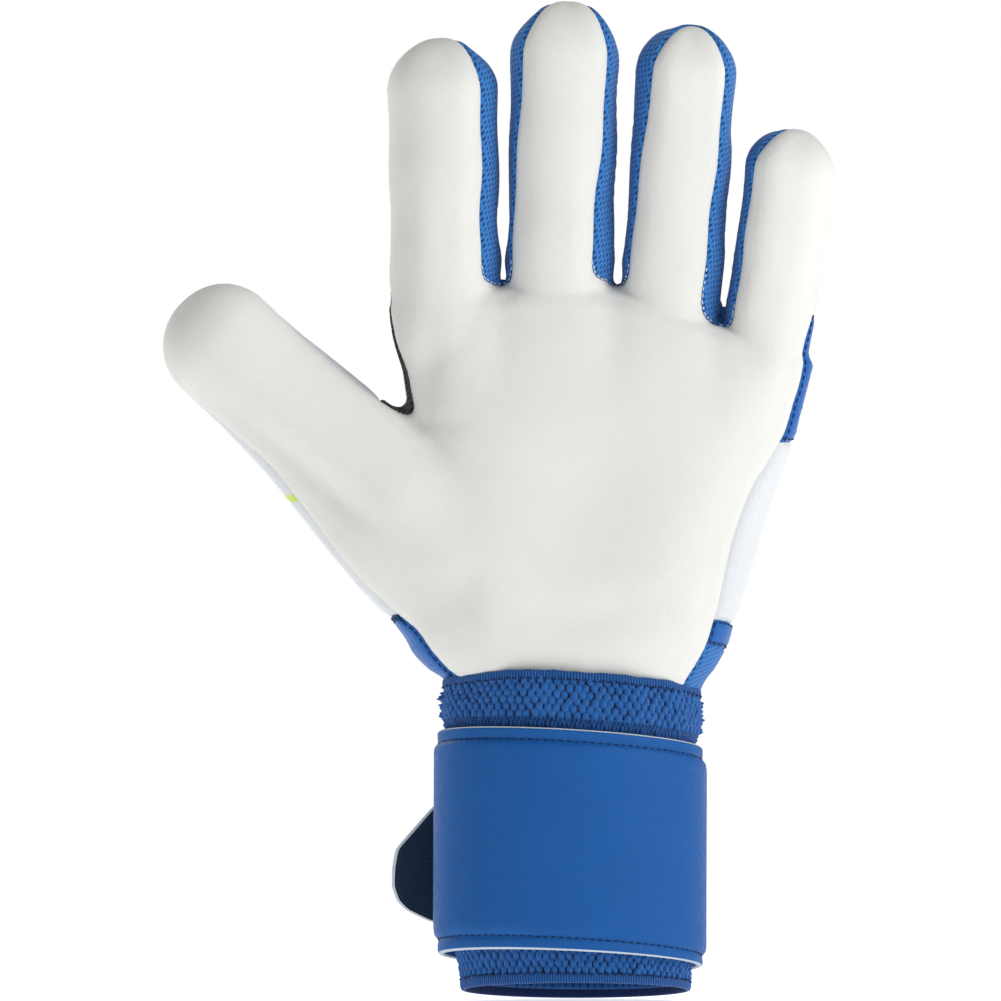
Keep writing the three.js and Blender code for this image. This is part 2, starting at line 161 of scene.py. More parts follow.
# The wrist's levels, at the middle of the glove. They drop towards the little finger and the back.
LEVEL_DROP = (-0.02, -0.14)
LATEX_BOTTOM = 83.6
TAPE = (96.6, 103.4)
THUMB_PATCH_TOP = 102.6
KNUCKLE_PANEL = 157.0
FINGER_LINE = (196.0, -0.05)  # the knuckle panel's top, and its slope

JOINTS = {j["name"]: j for j in frame["record"]["behaviour"]["joints"]}


def joint_at(name):
    return np.array(JOINTS[name]["pos_m"]) / MM


def curve(stations, column, at):
    """A smooth curve through one column of a table, without overshoot."""
    x = np.array([row[0] for row in stations], float)
    y = np.array([row[column] for row in stations], float)
    step = np.diff(x)
    slope = np.diff(y) / step
    tangent = np.zeros_like(y)
    same = slope[:-1] * slope[1:] > 0
    mean = 2 * slope[:-1] * slope[1:] / np.where(same, slope[:-1] + slope[1:], 1)
    tangent[1:-1] = np.where(same, mean, 0)
    tangent[0], tangent[-1] = slope[0], slope[-1]
    i = np.clip(np.searchsorted(x, at) - 1, 0, len(x) - 2)
    t = np.clip((at - x[i]) / step[i], 0, 1)
    a, b = 2 * t**3 - 3 * t**2 + 1, t**3 - 2 * t**2 + t
    c, d = -2 * t**3 + 3 * t**2, t**3 - t**2
    return a * y[i] + b * step[i] * tangent[i] + c * y[i + 1] + d * step[i] * tangent[i + 1]


def smooth(low, high, value):
    t = np.clip((value - low) / (high - low), 0, 1)
    return t * t * (3 - 2 * t)


def soft_min(a, b, k):
    h = np.clip(k - np.abs(a - b), 0, None) / k
    return np.minimum(a, b) - h * h * k / 4


def bell(value, width):
    """1 at zero, falling to nothing within about twice the width on both sides."""
    return np.exp(-((value / width) ** 2))


# ---- The hand's shape, as a distance to its surface ----


class Digit:
    """A finger or the thumb: its line runs through its two folds, in the plane of the palm."""

    root, root_rate = -26.0, 0.55  # inside the palm the digit closes slowly, from here down

    def __init__(self, near, far, beyond):
        a, b = joint_at(near), joint_at(far)
        self.near = a
        way = (b - a)[[0, 2]]
        self.spacing = float(np.hypot(*way))
        self.along = way / self.spacing
        self.across = np.array([self.along[1], -self.along[0]])
        self.tip = self.spacing + beyond
        # The line leans towards the palm as a parabola that both folds lie on.
        roots = [math.sqrt(max(FOLD_Y - p[1], 0)) for p in (a, b)]
        self.bend = (roots[1] - roots[0]) / self.spacing
        self.start = roots[0] / self.bend

    def place(self, p):
        """Distance along the line from the near fold, sideways, and in front of or behind the line."""
        x, z = p[:, 0] - self.near[0], p[:, 2] - self.near[2]
        s = x * self.along[0] + z * self.along[1]
        u = x * self.across[0] + z * self.across[1]
        lean = np.clip(self.bend * (s + self.start), 0, None) ** 2
        return s, u, p[:, 1] + lean

    def distance(self, p):
        s, u, v = self.place(p)
        half, front, back = self.sizes(s)
        deep = np.where(v < 0, front, back)
        t = np.clip(s - self.tip + self.round, 0, None) + self.root_rate * np.clip(self.root - s, 0, None)
        flat = (np.abs(u / half) ** SQUARENESS + np.abs(v / deep) ** SQUARENESS) ** (1 / SQUARENESS)
        g = np.sqrt(flat**2 + (t / self.round) ** 2) + 1e-6
        return np.sqrt(u * u + v * v + t * t) * (1 - 1 / g)


class Finger(Digit):
    merge = 1.5  # how softly it runs into the palm

    def __init__(self, name):
        self.spec = FINGERS[name]
        self.half = self.round = self.spec["half"]
        super().__init__(f"{name}_middle_fold", f"{name}_tip_fold", 0)
        top = max(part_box(f"{name}_tip_{part}")[1][2] for part in ("latex", "gusset")) / MM
        self.tip += (top - joint_at(f"{name}_tip_fold")[2]) / self.along[1]

    def sizes(self, s):
        # A little fuller in the middle of each stretch than at the folds.
        fuller = 1 + 0.012 * np.cos(2 * np.pi * s / self.spacing + np.pi)
        tip = 1 - 0.10 * smooth(self.spacing, self.tip, s)
        half = self.half * fuller + self.spec["wider"] * smooth(36, 4, s)
        return half, FINGER_FRONT * fuller * tip, FINGER_BACK * fuller * tip

    def seam(self, u, s, z):
        """Where the palm-side seam lies: its y, from the finger's middle line."""
        up = smooth(-18, self.spacing + 14, s)
        left, right = [
            curve(way, 1, z) if isinstance(way, list) else way[0] + (way[1] - way[0]) * up
            for way in (self.spec["left"], self.spec["right"])
        ]
        side = smooth(-0.35, 0.35, u / self.half)
        sides = left * (1 - side) + right * side
        near_middle = bell(u, 0.5 * self.half) * smooth(-16, -2, s - self.tip)
        return sides + np.clip(self.spec["over_tip"] - sides, 0, None) * near_middle


class Thumb(Digit):
    root, root_rate = -62.0, 0.5
    merge = 4.0

    def __init__(self):
        self.round = 17.0
        super().__init__("thumb_base_fold", "thumb_tip_fold", THUMB_TIP)

    def sizes(self, s):
        return [curve(THUMB_STATIONS, column, s) for column in (1, 2, 3)]

    def seam(self, u, s, z):
        inner = smooth(-8, 8, u)
        return -8.0 + 4.5 * inner + (9.0 - 4.0 * inner) * smooth(5, self.tip, s)


FINGER = {name: Finger(name) for name in FINGERS}
THUMB = Thumb()
DIGITS = {**FINGER, "thumb": THUMB}


def palm_distance(p):
    x, y, z = p.T
    left, right, front, back = [curve(PALM_STATIONS, column, z) for column in (1, 2, 3, 4)]
    middle, half = (left + right) / 2, (right - left) / 2
    u = x - middle
    deep = np.where(y < 0, front, back)
    square = 2.05 + (PALM_SQUARENESS - 2.05) * smooth(86, 118, z)
    flat = (np.abs(u / half) ** square + np.abs(y / deep) ** square) ** (1 / square)
    top = curve(WEB, 1, x)
    t = np.clip(z - (top - WEB_ROUND), 0, None)
    g = np.sqrt(flat**2 + (t / WEB_ROUND) ** 2) + 1e-6
    # Straight through the flat of the hand, the depth is what counts, not the long way to the axis.
    reach = np.minimum(np.sqrt(u * u + y * y + t * t), np.hypot(deep * 1.15, t))
    return reach * (1 - 1 / g)


def relief(p):
    """How far the palm and the back swell (positive) or sink from the plain shape."""
    x, y, z = p.T
    swell = np.zeros(len(p))
    for side, mounds in ((-1, PALM_MOUNDS), (1, BACK_MOUNDS)):
        for middle_x, middle_z, wide, tall, height in mounds:
            near = ((x - middle_x) / wide) ** 2 + ((z - middle_z) / tall) ** 2
            swell += height * np.exp(-near) * smooth(2, 10, side * y)
    from_x, from_z = x - VALLEY["at"][0], z - VALLEY["at"][1]
    a, b = VALLEY["across"]
    away, along = from_x * a + from_z * b, from_x * b - from_z * a
    swell -= VALLEY["deep"] * bell(away, VALLEY["wide"]) * bell(along, VALLEY["long"]) * smooth(7, 14, -y)
    return swell * smooth(86, 104, z)


def hand_distance(p):
    d = palm_distance(p)
    close = (d < 40) | (p[:, 2] > 120)
    for digit in DIGITS.values():
        other = np.full(len(p), 60.0)
        other[close] = digit.distance(p[close])
        d = soft_min(d, other, digit.merge)
    return d


def gradient(f, p, step=0.05):
    g = np.empty_like(p)
    for axis in range(3):
        offset = np.zeros(3)
        offset[axis] = step
        g[:, axis] = (f(p + offset) - f(p - offset)) / (2 * step)
    return g


def surface_nets(distance, low, high, h):
    """The zero surface of a distance, as points and quads."""
    axes = [np.arange(a, b + h, h) for a, b in zip(low, high)]
    shape = tuple(len(a) for a in axes)
    d = np.empty(shape, np.float32)
    for i, x in enumerate(axes[0]):
        y, z = np.meshgrid(axes[1], axes[2], indexing="ij")
        p = np.column_stack([np.full(y.size, x), y.ravel(), z.ravel()])
        d[i] = distance(p).reshape(y.shape)
    inside = d < 0
    cells = tuple(n - 1 for n in shape)
    total = np.zeros(cells + (3,))
    count = np.zeros(cells)
    corner = lambda a, c: a[tuple(slice(c[k], c[k] + cells[k]) for k in range(3))]
    for axis in range(3):
        for other in range(4):
            a = [0, 0, 0]
            rest = [k for k in range(3) if k != axis]
            a[rest[0]], a[rest[1]] = other & 1, other >> 1
            b = list(a)
            b[axis] = 1
            d0, d1 = corner(d, a), corner(d, b)
            crossed = corner(inside, a) != corner(inside, b)
            t = np.where(crossed, d0 / np.where(crossed, d0 - d1, 1), 0)
            for k in range(3):
                place = a[k] + (t if k == axis else 0)
                total[..., k] += np.where(crossed, place, 0)
            count += crossed
    active = count > 0
    number = np.full(cells, -1, np.int64)
    number[active] = np.arange(active.sum())
    at = np.argwhere(active)
    points = np.array(low) + h * (at + total[active] / count[active][:, None])
    quads = []
    for axis in range(3):
        ahead = [slice(None)] * 3
        behind = [slice(None)] * 3
        ahead[axis], behind[axis] = slice(1, None), slice(None, -1)
        change = inside[tuple(ahead)] != inside[tuple(behind)]
        j, k = [m for m in range(3) if m != axis]
        edge = np.argwhere(change)
        ok = (edge[:, j] > 0) & (edge[:, k] > 0) & (edge[:, j] < cells[j]) & (edge[:, k] < cells[k])
        edge = edge[ok]
        ring = []
        for dj, dk in ((0, 0), (-1, 0), (-1, -1), (0, -1)):
            cell = edge.copy()
            cell[:, j] += dj
            cell[:, k] += dk
            ring.append(number[tuple(cell.T)])
        ring = np.column_stack(ring)
        inward = ~inside[tuple(edge.T)]
        if axis == 1:
            inward = ~inward
        ring[inward] = ring[inward][:, ::-1]
        quads.append(ring)
    return points, np.vstack(quads)


def triangles(quads):
    return np.vstack([quads[:, [0, 1, 2]], quads[:, [0, 2, 3]]])


def all_edges(faces):
    """Every triangle's three edges, each with its lower point number first."""
    return np.sort(np.vstack([faces[:, [0, 1]], faces[:, [1, 2]], faces[:, [2, 0]]]), axis=1)


def border(faces):
    """The edges that only one triangle has."""
    unique, count = np.unique(all_edges(faces), axis=0, return_counts=True)
    return unique[count == 1]


def tree_of(points):
    tree = kdtree.KDTree(len(points))
    for i, p in enumerate(points):
        tree.insert(p, i)
    tree.balance()
    return tree


# ---- Seams and zones ----


def seam_levels(p):
    """The y of the palm-side seam and of the seam behind the gussets, near each point."""
    x, _, z = p.T
    right = smooth(-20, 20, x)
    palm = curve(LEFT_SEAM, 1, z) * (1 - right) + curve(RIGHT_SEAM, 1, z) * right
    weights = np.exp(-np.abs(palm_distance(p)) / 1.5) + 1e-9
    front, back = palm * weights, BACK_SEAM * weights
    for digit in DIGITS.values():
        s, u, v = digit.place(p)
        lean = v - p[:, 1]
        w = np.exp(-np.abs(digit.distance(p)) / 1.5)
        front += (digit.seam(u, s, z) - lean) * w
        back += (BACK_SEAM - lean) * w
        weights += w
    return front / weights, back / weights


def level(p):
    return p[:, 2] - p[:, 0] * LEVEL_DROP[0] - p[:, 1] * LEVEL_DROP[1]


def past_cut(p, name):
    """Positive on the part of a digit that bends, beyond where its own pieces start."""
    digit = DIGITS[name]
    s, u, _ = digit.place(p)
    if digit is THUMB:
        away = (p[:, 0] - CROTCH[0]) * CROTCH_WAY[0] + (p[:, 2] - CROTCH[1]) * CROTCH_WAY[1]
        return np.minimum(s - THUMB_CUT, away)
    start = (digit.spec["cut"] - digit.near[2]) / digit.along[1]
    return np.minimum(s - start, digit.half + 1.0 - np.abs(u))


def knuckle_panel_edge(x):
    """The lower edge of the panel over the knuckles: it rises from the little finger to the index."""
    return KNUCKLE_PANEL + 13 * smooth(64, -30, x) + 2.5 * np.sin((x + 10) / 15)


class Skin:
    """The hand's surface as triangles, each with the zone and the stretch that it belongs to."""

    def __init__(self):
        points, quads = surface_nets(hand_distance, (-120, -30, 76), (80, 28, 288), GRID)
        for _ in range(3):
            slope = gradient(hand_distance, points)
            far = hand_distance(points) / np.maximum((slope**2).sum(1), 0.2)
            points -= np.clip(far, -0.5, 0.5)[:, None] * slope
        self.points = points
        self.faces = triangles(quads)
        self.zone = np.full(len(self.faces), "rest", dtype="U24")
        self.stretch = np.full(len(self.faces), "palm", dtype="U24")

    def split(self, field, chosen):
        """Cuts the chosen triangles where the field is zero. Returns which triangles lie below it."""
        value = field(self.points)
        value = np.where(np.abs(value) < 1e-6, 1e-6, value)
        sign = value[self.faces] > 0
        lone_side = sign.sum(1)
        cut = chosen & (lone_side > 0) & (lone_side < 3)
        f, up = self.faces[cut], sign[cut]
        lone = np.where(up.sum(1) == 1, up.argmax(1), (~up).argmax(1))
        rows = np.arange(len(f))
        a, b, c = f[rows, lone], f[rows, (lone + 1) % 3], f[rows, (lone + 2) % 3]
        edges = np.sort(np.vstack([np.column_stack([a, b]), np.column_stack([a, c])]), axis=1)
        unique, which = np.unique(edges, axis=0, return_inverse=True)
        which = which.ravel()
        v0, v1 = value[unique[:, 0]], value[unique[:, 1]]
        t = np.clip(v0 / (v0 - v1), 0.04, 0.96)[:, None]
        middle = self.points[unique[:, 0]] * (1 - t) + self.points[unique[:, 1]] * t
        first = len(self.points)
        self.points = np.vstack([self.points, middle])
        ab, ac = first + which[: len(f)], first + which[len(f) :]
        lone_up = up[rows, lone]
        made = np.vstack([np.column_stack(t3) for t3 in ((a, ab, ac), (ab, b, c), (ab, c, ac))])
        below = np.concatenate([~lone_up, lone_up, lone_up])
        kept = ~cut
        self.faces = np.vstack([self.faces[kept], made])
        for label in ("zone", "stretch"):
            old = getattr(self, label)
            setattr(self, label, np.concatenate([old[kept], np.tile(old[cut], 3)]))
        whole = lone_side[kept] == 0
        return np.concatenate([whole & chosen[kept], below])

    def carve(self, new, field):
        """What has no zone yet and lies where the field is below zero becomes a new zone."""
        below = self.split(field, self.zone == "rest")
        self.zone[below] = new

    def part(self, stretch, field, new):
        """The part of a stretch where the field is above zero becomes a new stretch."""
        above = self.split(lambda p: -field(p), self.stretch == stretch)
        self.stretch[above] = new

    def drop(self, gone):
        keep = ~gone
        self.faces, self.zone, self.stretch = self.faces[keep], self.zone[keep], self.stretch[keep]


def zone_the_skin(skin):
    def inside_gussets(p):
        x, y, z = p.T
        past_index = -36 - x - 3 * np.clip(z - 225, 0, None)
        past_pinky = x - 56 - 3 * np.clip(z - 200, 0, None)
        low = curve(WEB, 1, x) - WEB_ROUND - 4 - z
        thumb = past_cut(p, "thumb") + 0.5
        return np.maximum.reduce([y - seam_levels(p)[1], np.maximum(past_index, past_pinky), low, thumb])

    def inside_thumb_gusset(p):
        x, y, z = p.T
        own = np.minimum(past_cut(p, "thumb"), THUMB.place(p)[0] - 1.5)
        return np.maximum.reduce([y - BACK_SEAM, 151 - z, x + 36, own, z - 206])

    def inside_thumb_patch(p):
        return np.maximum.reduce([p[:, 0] + 34, level(p) - THUMB_PATCH_TOP, p[:, 1] - 9])

    def below_fingers(p):
        x, _, z = p.T
        return z - FINGER_LINE[0] + 1.2 * smooth(38, 60, x) - FINGER_LINE[1] * x

    skin.drop(skin.split(lambda p: level(p) - LATEX_BOTTOM, skin.zone == "rest"))
    skin.carve("latex", lambda p: p[:, 1] - seam_levels(p)[0])
    skin.carve("gusset", inside_gussets)
    skin.carve("thumb_gusset", inside_thumb_gusset)
    skin.carve("thumb_patch", inside_thumb_patch)
    skin.carve("back_mesh", lambda p: level(p) - TAPE[0])
    skin.carve("tape", lambda p: level(p) - TAPE[1])
    skin.carve("back", lambda p: p[:, 2] - knuckle_panel_edge(p[:, 0]))
    skin.carve("back", lambda p: -past_cut(p, "thumb"))
    skin.carve("knuckle_panel", below_fingers)
    skin.zone[skin.zone == "rest"] = "finger_back"
    for name, digit in DIGITS.items():
        skin.part("palm", lambda p: past_cut(p, name), f"{name}_middle")
        skin.part(f"{name}_middle", lambda p: digit.place(p)[0] - digit.spacing / 2, f"{name}_tip")


# ---- From the skin to pieces ----

SEAM_DEPTH = 1.25  # how deep a panel rolls in at its seams
SWELL_CAP = 1.6  # how far the cloth copy's fullness may move the surface
SWELL_SHARE = 0.6  # how much of it the skin takes
# Each zone's panel: over what width it rolls in at its seams, how much it stands proud, and its paint.
PANELS = {
    "latex": (3.4, 0.35, "latex"),
    "back": (4.0, 0.5, "white"),
    "finger_back": (3.6, 0.5, "white"),
    "knuckle_panel": (3.6, 0.7, "blue"),
    "gusset": (1.3, -0.35, "mesh"),
    "thumb_gusset": (1.3, -0.3, "charcoal"),
    "thumb_patch": (1.6, 0.1, "blue"),
    "tape": (1.4, 0.2, "blue"),
    "back_mesh": (1.4, -0.2, "mesh"),
}

RIB_PITCH = 6.6  # over the knuckles
RIB_HEIGHT = 0.8
CHANNELS = (8.0, 17.5, 27.0)  # sewn across the back, this far below the knuckle panel
CHANNEL_DEPTH = 0.85


def unit(v):
    return v / np.maximum(np.linalg.norm(v, axis=-1, keepdims=True), 1e-12)


def vertex_normals(points, faces):
    a, b, c = [points[faces[:, i]] for i in range(3)]
    normal = np.cross(b - a, c - a)
    total = np.zeros_like(points)
    for i in range(3):
        np.add.at(total, faces[:, i], normal)
    return unit(total)


def waves(p, length, seed):
    """Slow, seeded unevenness between about -1 and 1."""
    rng = np.random.default_rng(seed)
    total = np.zeros(len(p))
    for _ in range(6):
        way = unit(rng.normal(size=3)) * 2 * np.pi / (length * rng.uniform(0.7, 1.5))
        total += np.sin(p @ way + rng.uniform(0, 2 * np.pi))
    return total / 6**0.5 / 1.5


def raised(away, width):
    """1 inside a shape, 0 outside it, from the distance to its edge."""
    return smooth(width / 2, -width / 2, away)


def notched_pad(s, u, outline, height, edge, notches, bow):
    """A raised pad on a digit's back, with bowed flex notches across it."""
    notch = sum(bell(s - at + bow * u * u, 1.3) for at in notches)
    return height * raised(outline, edge) - height * notch * raised(outline - 0.6, 1.5)


def padding(p, zone_of):
    """The padded panels, flex notches and channels of the back."""
    x, y, z = p.T
    lift = np.zeros(len(p))
    for digit in FINGER.values():
        s, u, v = digit.place(p)
        here = (zone_of == "finger_back") & (np.abs(u) < digit.half + 1) & (v > 0)
        here &= np.abs(digit.distance(p)) < 3
        outline = np.maximum(np.abs(u) - 6.4 - 0.03 * np.abs(s), np.maximum(-21 - s, s - digit.tip + 15))
        notches = (-13.0, -1.0, digit.spacing * 0.5, digit.spacing + 1)
        lift += np.where(here, notched_pad(s, u, outline, 0.95, 1.7, notches, 0.035), 0)
    above = z - knuckle_panel_edge(x)
    ribs = 0.5 - 0.5 * np.cos(2 * np.pi * above / RIB_PITCH)
    on_ribs = (zone_of == "knuckle_panel") & (y > 4)
    lift += np.where(on_ribs, RIB_HEIGHT * ribs**0.7 * smooth(2, 7, BACK_SEAM + y - 4), 0)
    inside = smooth(46, 36, np.abs(x - 6)) * smooth(112, 118, z) * (y > 5)
    for drop in CHANNELS:
        lift += np.where(zone_of == "back", -CHANNEL_DEPTH * bell(above + drop, 1.15) * inside, 0)
    s, u, v = THUMB.place(p)
    here = (zone_of == "back") & (v > 2) & (np.abs(THUMB.distance(p)) < 3)
    outline = np.maximum(np.abs(u + 1) - 7.5, np.maximum(-24 - s, s - 46))
    lift += np.where(here, notched_pad(s, u, outline, 0.9, 1.8, (-6.0, 12.0, 31.0), 0.03), 0)
    return lift


def accents(p, zone_of):
    """Where the yellow-green accents lie on the white back: 1 on them, 0 elsewhere."""
    x, _, z = p.T
    above = z - knuckle_panel_edge(x)
    stripe = np.maximum(np.abs(above + CHANNELS[1]) - 1.5, np.abs(x - 6) - 41)
    s, u, _ = THUMB.place(p)
    across = (u + 12.5) * 0.81 + (s + 8) * 0.585
    thumb = np.maximum(np.abs(across) - 0.9, np.maximum(np.abs(u + 16) - 6, np.abs(s + 4) - 12))
    return np.where(zone_of == "back", smooth(1.2, -1.2, np.minimum(stripe, thumb)), 0)


def seam_edges(skin):
    """The edges where two panels meet or one ends."""
    _, number = np.unique(skin.zone, return_inverse=True)
    edges = all_edges(skin.faces)
    owner = np.tile(number.ravel(), 3)
    order = np.lexsort((edges[:, 1], edges[:, 0]))
    edges, owner = edges[order], owner[order]
    same = (edges[1:] == edges[:-1]).all(1)
    paired = np.zeros(len(edges), bool)
    paired[1:] |= same
    paired[:-1] |= same
    differ = np.flatnonzero(same)[owner[1:][same] != owner[:-1][same]]
    return np.vstack([edges[~paired], edges[differ]])


def shape_the_skin(skin):
    """Rolls every panel in at its seams and gives the palm and back their relief."""
    edges = seam_edges(skin)
    a, b = skin.points[edges[:, 0]], skin.points[edges[:, 1]]
    seams = tree_of(np.vstack([a + (b - a) * t for t in (0, 0.25, 0.5, 0.75)]))
    skin.seam = np.array([seams.find(q)[2] for q in skin.points])
    zone_of = np.full(len(skin.points), "latex", dtype="U24")
    for i in range(3):
        zone_of[skin.faces[:, i]] = skin.zone
    wide, proud = np.array([PANELS[z][:2] for z in zone_of]).T
    inner = np.clip(1 - skin.seam / wide, 0, 1)
    move = -SEAM_DEPTH * (1 - np.sqrt(1 - inner**2 * 0.98))
    move += proud * smooth(0, 1, skin.seam / (2 * wide))
    move += relief(skin.points) + 0.16 * waves(skin.points, 26, 3) * smooth(0, 6, skin.seam)
    move += SWELL_SHARE * cloth_swell(skin.points) * smooth(0, 8, skin.seam)
    move += padding(skin.points, zone_of) * smooth(0.5, 4, skin.seam)
    skin.accent = accents(skin.points, zone_of)
    skin.base = skin.points
    skin.points = skin.points + vertex_normals(skin.points, skin.faces) * move[:, None]
    skin.normals = vertex_normals(skin.points, skin.faces)


CLOTH = {
    "quality": 6,
    "mass": 0.2,
    "tension_stiffness": 12,
    "compression_stiffness": 12,
    "shear_stiffness": 4,
    "bending_stiffness": 0.4,
    "use_pressure": True,
    "uniform_pressure_force": 4,
    "vertex_group_mass": "held",
}
CLOTH_FRAMES = (1, 20)
CLOTH_GRID = 4.0
HELD_BELOW = 92  # the cloth copy is held at the wrist


def cloth_swell(points):
    """How a coarse cloth copy of the hand fills out under pressure, smoothed, at each point."""
    scene = bpy.context.scene
    coarse, quads = surface_nets(hand_distance, (-120, -30, 70), (80, 28, 290), CLOTH_GRID)
    mesh = bpy.data.meshes.new("cloth_copy")
    mesh.from_pydata((coarse * MM).tolist(), [], quads.tolist())
    copy = bpy.data.objects.new("cloth_copy", mesh)
    scene.collection.objects.link(copy)
    held = copy.vertex_groups.new(name="held")
    held.add([i for i, p in enumerate(coarse) if p[2] < HELD_BELOW], 1.0, "REPLACE")
    cloth = copy.modifiers.new("cloth", "CLOTH")
    cloth.settings.effector_weights.gravity = 0
    for name, value in CLOTH.items():
        setattr(cloth.settings, name, value)
    cloth.point_cache.frame_start, cloth.point_cache.frame_end = CLOTH_FRAMES
    for step in range(CLOTH_FRAMES[0], CLOTH_FRAMES[1] + 1):
        scene.frame_set(step)
    shaped = copy.evaluated_get(bpy.context.evaluated_depsgraph_get()).to_mesh()
    moved = np.empty(len(coarse) * 3)
    shaped.vertices.foreach_get("co", moved)
    moved = moved.reshape(-1, 3) / MM - coarse
    scene.frame_set(CLOTH_FRAMES[0])
    bpy.data.objects.remove(copy)
    normal = vertex_normals(coarse, triangles(quads))
    swell = np.clip((moved * normal).sum(1), -SWELL_CAP, SWELL_CAP)
    tree = tree_of(coarse)
    result = np.empty(len(points))
    for i, p in enumerate(points):
        found = tree.find_n(p, 10)
        weight = [math.exp(-((d / 4.5) ** 2)) for _, _, d in found]
        result[i] = sum(w * swell[k] for w, (_, k, _) in zip(weight, found)) / sum(weight)
    return result - np.median(result)


def weave_coordinates(p):
    """Along and around the nearest digit, or up and across the palm, in millimetres."""
    best = np.abs(palm_distance(p)) + 0.6
    fine = np.linspace(-np.pi, np.pi, 721)
    step = np.hypot(PALM_ROUND[0] * np.diff(np.cos(fine)), PALM_ROUND[1] * np.diff(np.sin(fine)))
    turn = np.arctan2(p[:, 1] / PALM_ROUND[1], (p[:, 0] - 4) / PALM_ROUND[0])
    along, around = p[:, 2].copy(), np.interp(turn, fine, np.concatenate([[0], np.cumsum(step)]))
    for digit in DIGITS.values():
        s, u, v = digit.place(p)
        away = np.abs(digit.distance(p))
        mine = away < best
        turn = np.arctan2(v * 1.15, u) * 13.0
        along = np.where(mine, s, along)
        around = np.where(mine, turn, around)
        best = np.where(mine, away, best)
    return along, around


def add_mesh(name, points, faces, weave=None, normals=None, accent=None):
    """A mesh object from points in millimetres, with the values that its paint reads."""
    mesh = bpy.data.meshes.new(name)
    mesh.from_pydata((np.asarray(points) * MM).tolist(), [], [list(map(int, f)) for f in faces])
    mesh.polygons.foreach_set("use_smooth", [True] * len(mesh.polygons))
    for title, kind, key, values in (
        ("rest", "FLOAT_VECTOR", "vector", points),
        ("weave", "FLOAT_VECTOR", "vector", weave),
        ("accent", "FLOAT", "value", accent),
    ):
        if values is not None:
            layer = mesh.attributes.new(title, kind, "POINT")
            layer.data.foreach_set(key, np.asarray(values, np.float32).ravel())
    mesh.update()
    if normals is not None:
        mesh.normals_split_custom_set_from_vertices(np.asarray(normals).tolist())
    obj = bpy.data.objects.new(name, mesh)
    bpy.context.scene.collection.objects.link(obj)
    return obj


def strip_size(points, faces):
    """A cut panel's width, length and area in metres, as a strip with its area and outline."""
    a, b, c = [points[faces[:, i]] for i in range(3)]
    area = np.linalg.norm(np.cross(b - a, c - a), axis=1).sum() / 2
    edge = border(faces)
    half = np.linalg.norm(points[edge[:, 0]] - points[edge[:, 1]], axis=1).sum() / 2
    length = (half + math.sqrt(max(half * half - 4 * area, 0))) / 2
    width, length = [max(float(size) * MM, 0.01) for size in (area / length, length)]
    return width, length, float(area) * MM * MM


def skin_piece(skin, name, zones, stretch):
    chosen = np.isin(skin.zone, zones) & (skin.stretch == stretch)
    used, index = np.unique(skin.faces[chosen], return_inverse=True)
    faces = index.reshape(-1, 3)
    weave = np.column_stack([skin.along[used], skin.around[used], skin.seam[used]])
    made = add_mesh(name, skin.points[used], faces, weave, skin.normals[used], skin.accent[used])
    if PANELS[zones[0]][2] in ("mesh", "charcoal"):
        width, length, area = strip_size(skin.base[used], faces)
    return made


# ---- Materials ----


class Paint:
    """A node material under construction. Node inputs are given by name: a number, a colour or an output."""

    def __init__(self, name):
        self.material = bpy.data.materials.new(name)
        self.material.use_nodes = True
        self.tree = self.material.node_tree
        self.shader = self.tree.nodes["Principled BSDF"]
        self.rest = self("Attribute", attribute_name="rest", output="Vector")
        self.weave = self("Attribute", attribute_name="weave", output="Vector")

    def __call__(self, kind, inputs=(), output=0, **settings):
        node = self.tree.nodes.new("ShaderNode" + kind)
        for key, value in settings.items():
            setattr(node, key, value)
        for key, value in dict(inputs).items():
            self.set(node.inputs[key], value)
        return node.outputs[output]

    def set(self, socket, value):
        if isinstance(value, bpy.types.NodeSocket):
            self.tree.links.new(value, socket)
        else:
            socket.default_value = value

    def math(self, operation, a, b=0.0, c=0.0):
        return self("Math", {0: a, 1: b, 2: c}, operation=operation)

    def noise(self, scale, detail=3.0, vector=None, output="Fac"):
        given = {"Vector": vector or self.rest, "Scale": scale, "Detail": detail}
        return self("TexNoise", given, output=output)

    def mix(self, factor, a, b):
        return self("Mix", {0: factor, 6: a, 7: b}, output=2, data_type="RGBA")

    def between(self, value, low, high, to_low=0.0, to_high=1.0):
        given = {"Value": value, "From Min": low, "From Max": high, "To Min": to_low, "To Max": to_high}
        return self("MapRange", given, interpolation_type="SMOOTHSTEP")

    def bump(self, height, distance, strength=1.0, normal=None):
        given = {"Height": height, "Distance": distance * MM, "Strength": strength}
        if normal is not None:
            given["Normal"] = normal
        return self("Bump", given)

    def finish(self, colour, roughness, normal=None, shine=0.2, **more):
        given = {"Base Color": colour, "Roughness": roughness, "Specular IOR Level": shine}
        if normal is not None:
            given["Normal"] = normal
        given.update({key.replace("_", " ").title(): value for key, value in more.items()})
        for key, value in given.items():
            self.set(self.shader.inputs[key], value)
        return self.material


def srgb(r, g, b):
    """A colour given as on a screen, 0 to 255."""
    channel = lambda c: c / 12.92 if c <= 0.04045 else ((c + 0.055) / 1.055) ** 2.4
    return (*[channel(c / 255) for c in (r, g, b)], 1)


ACCENT = srgb(196, 216, 112)


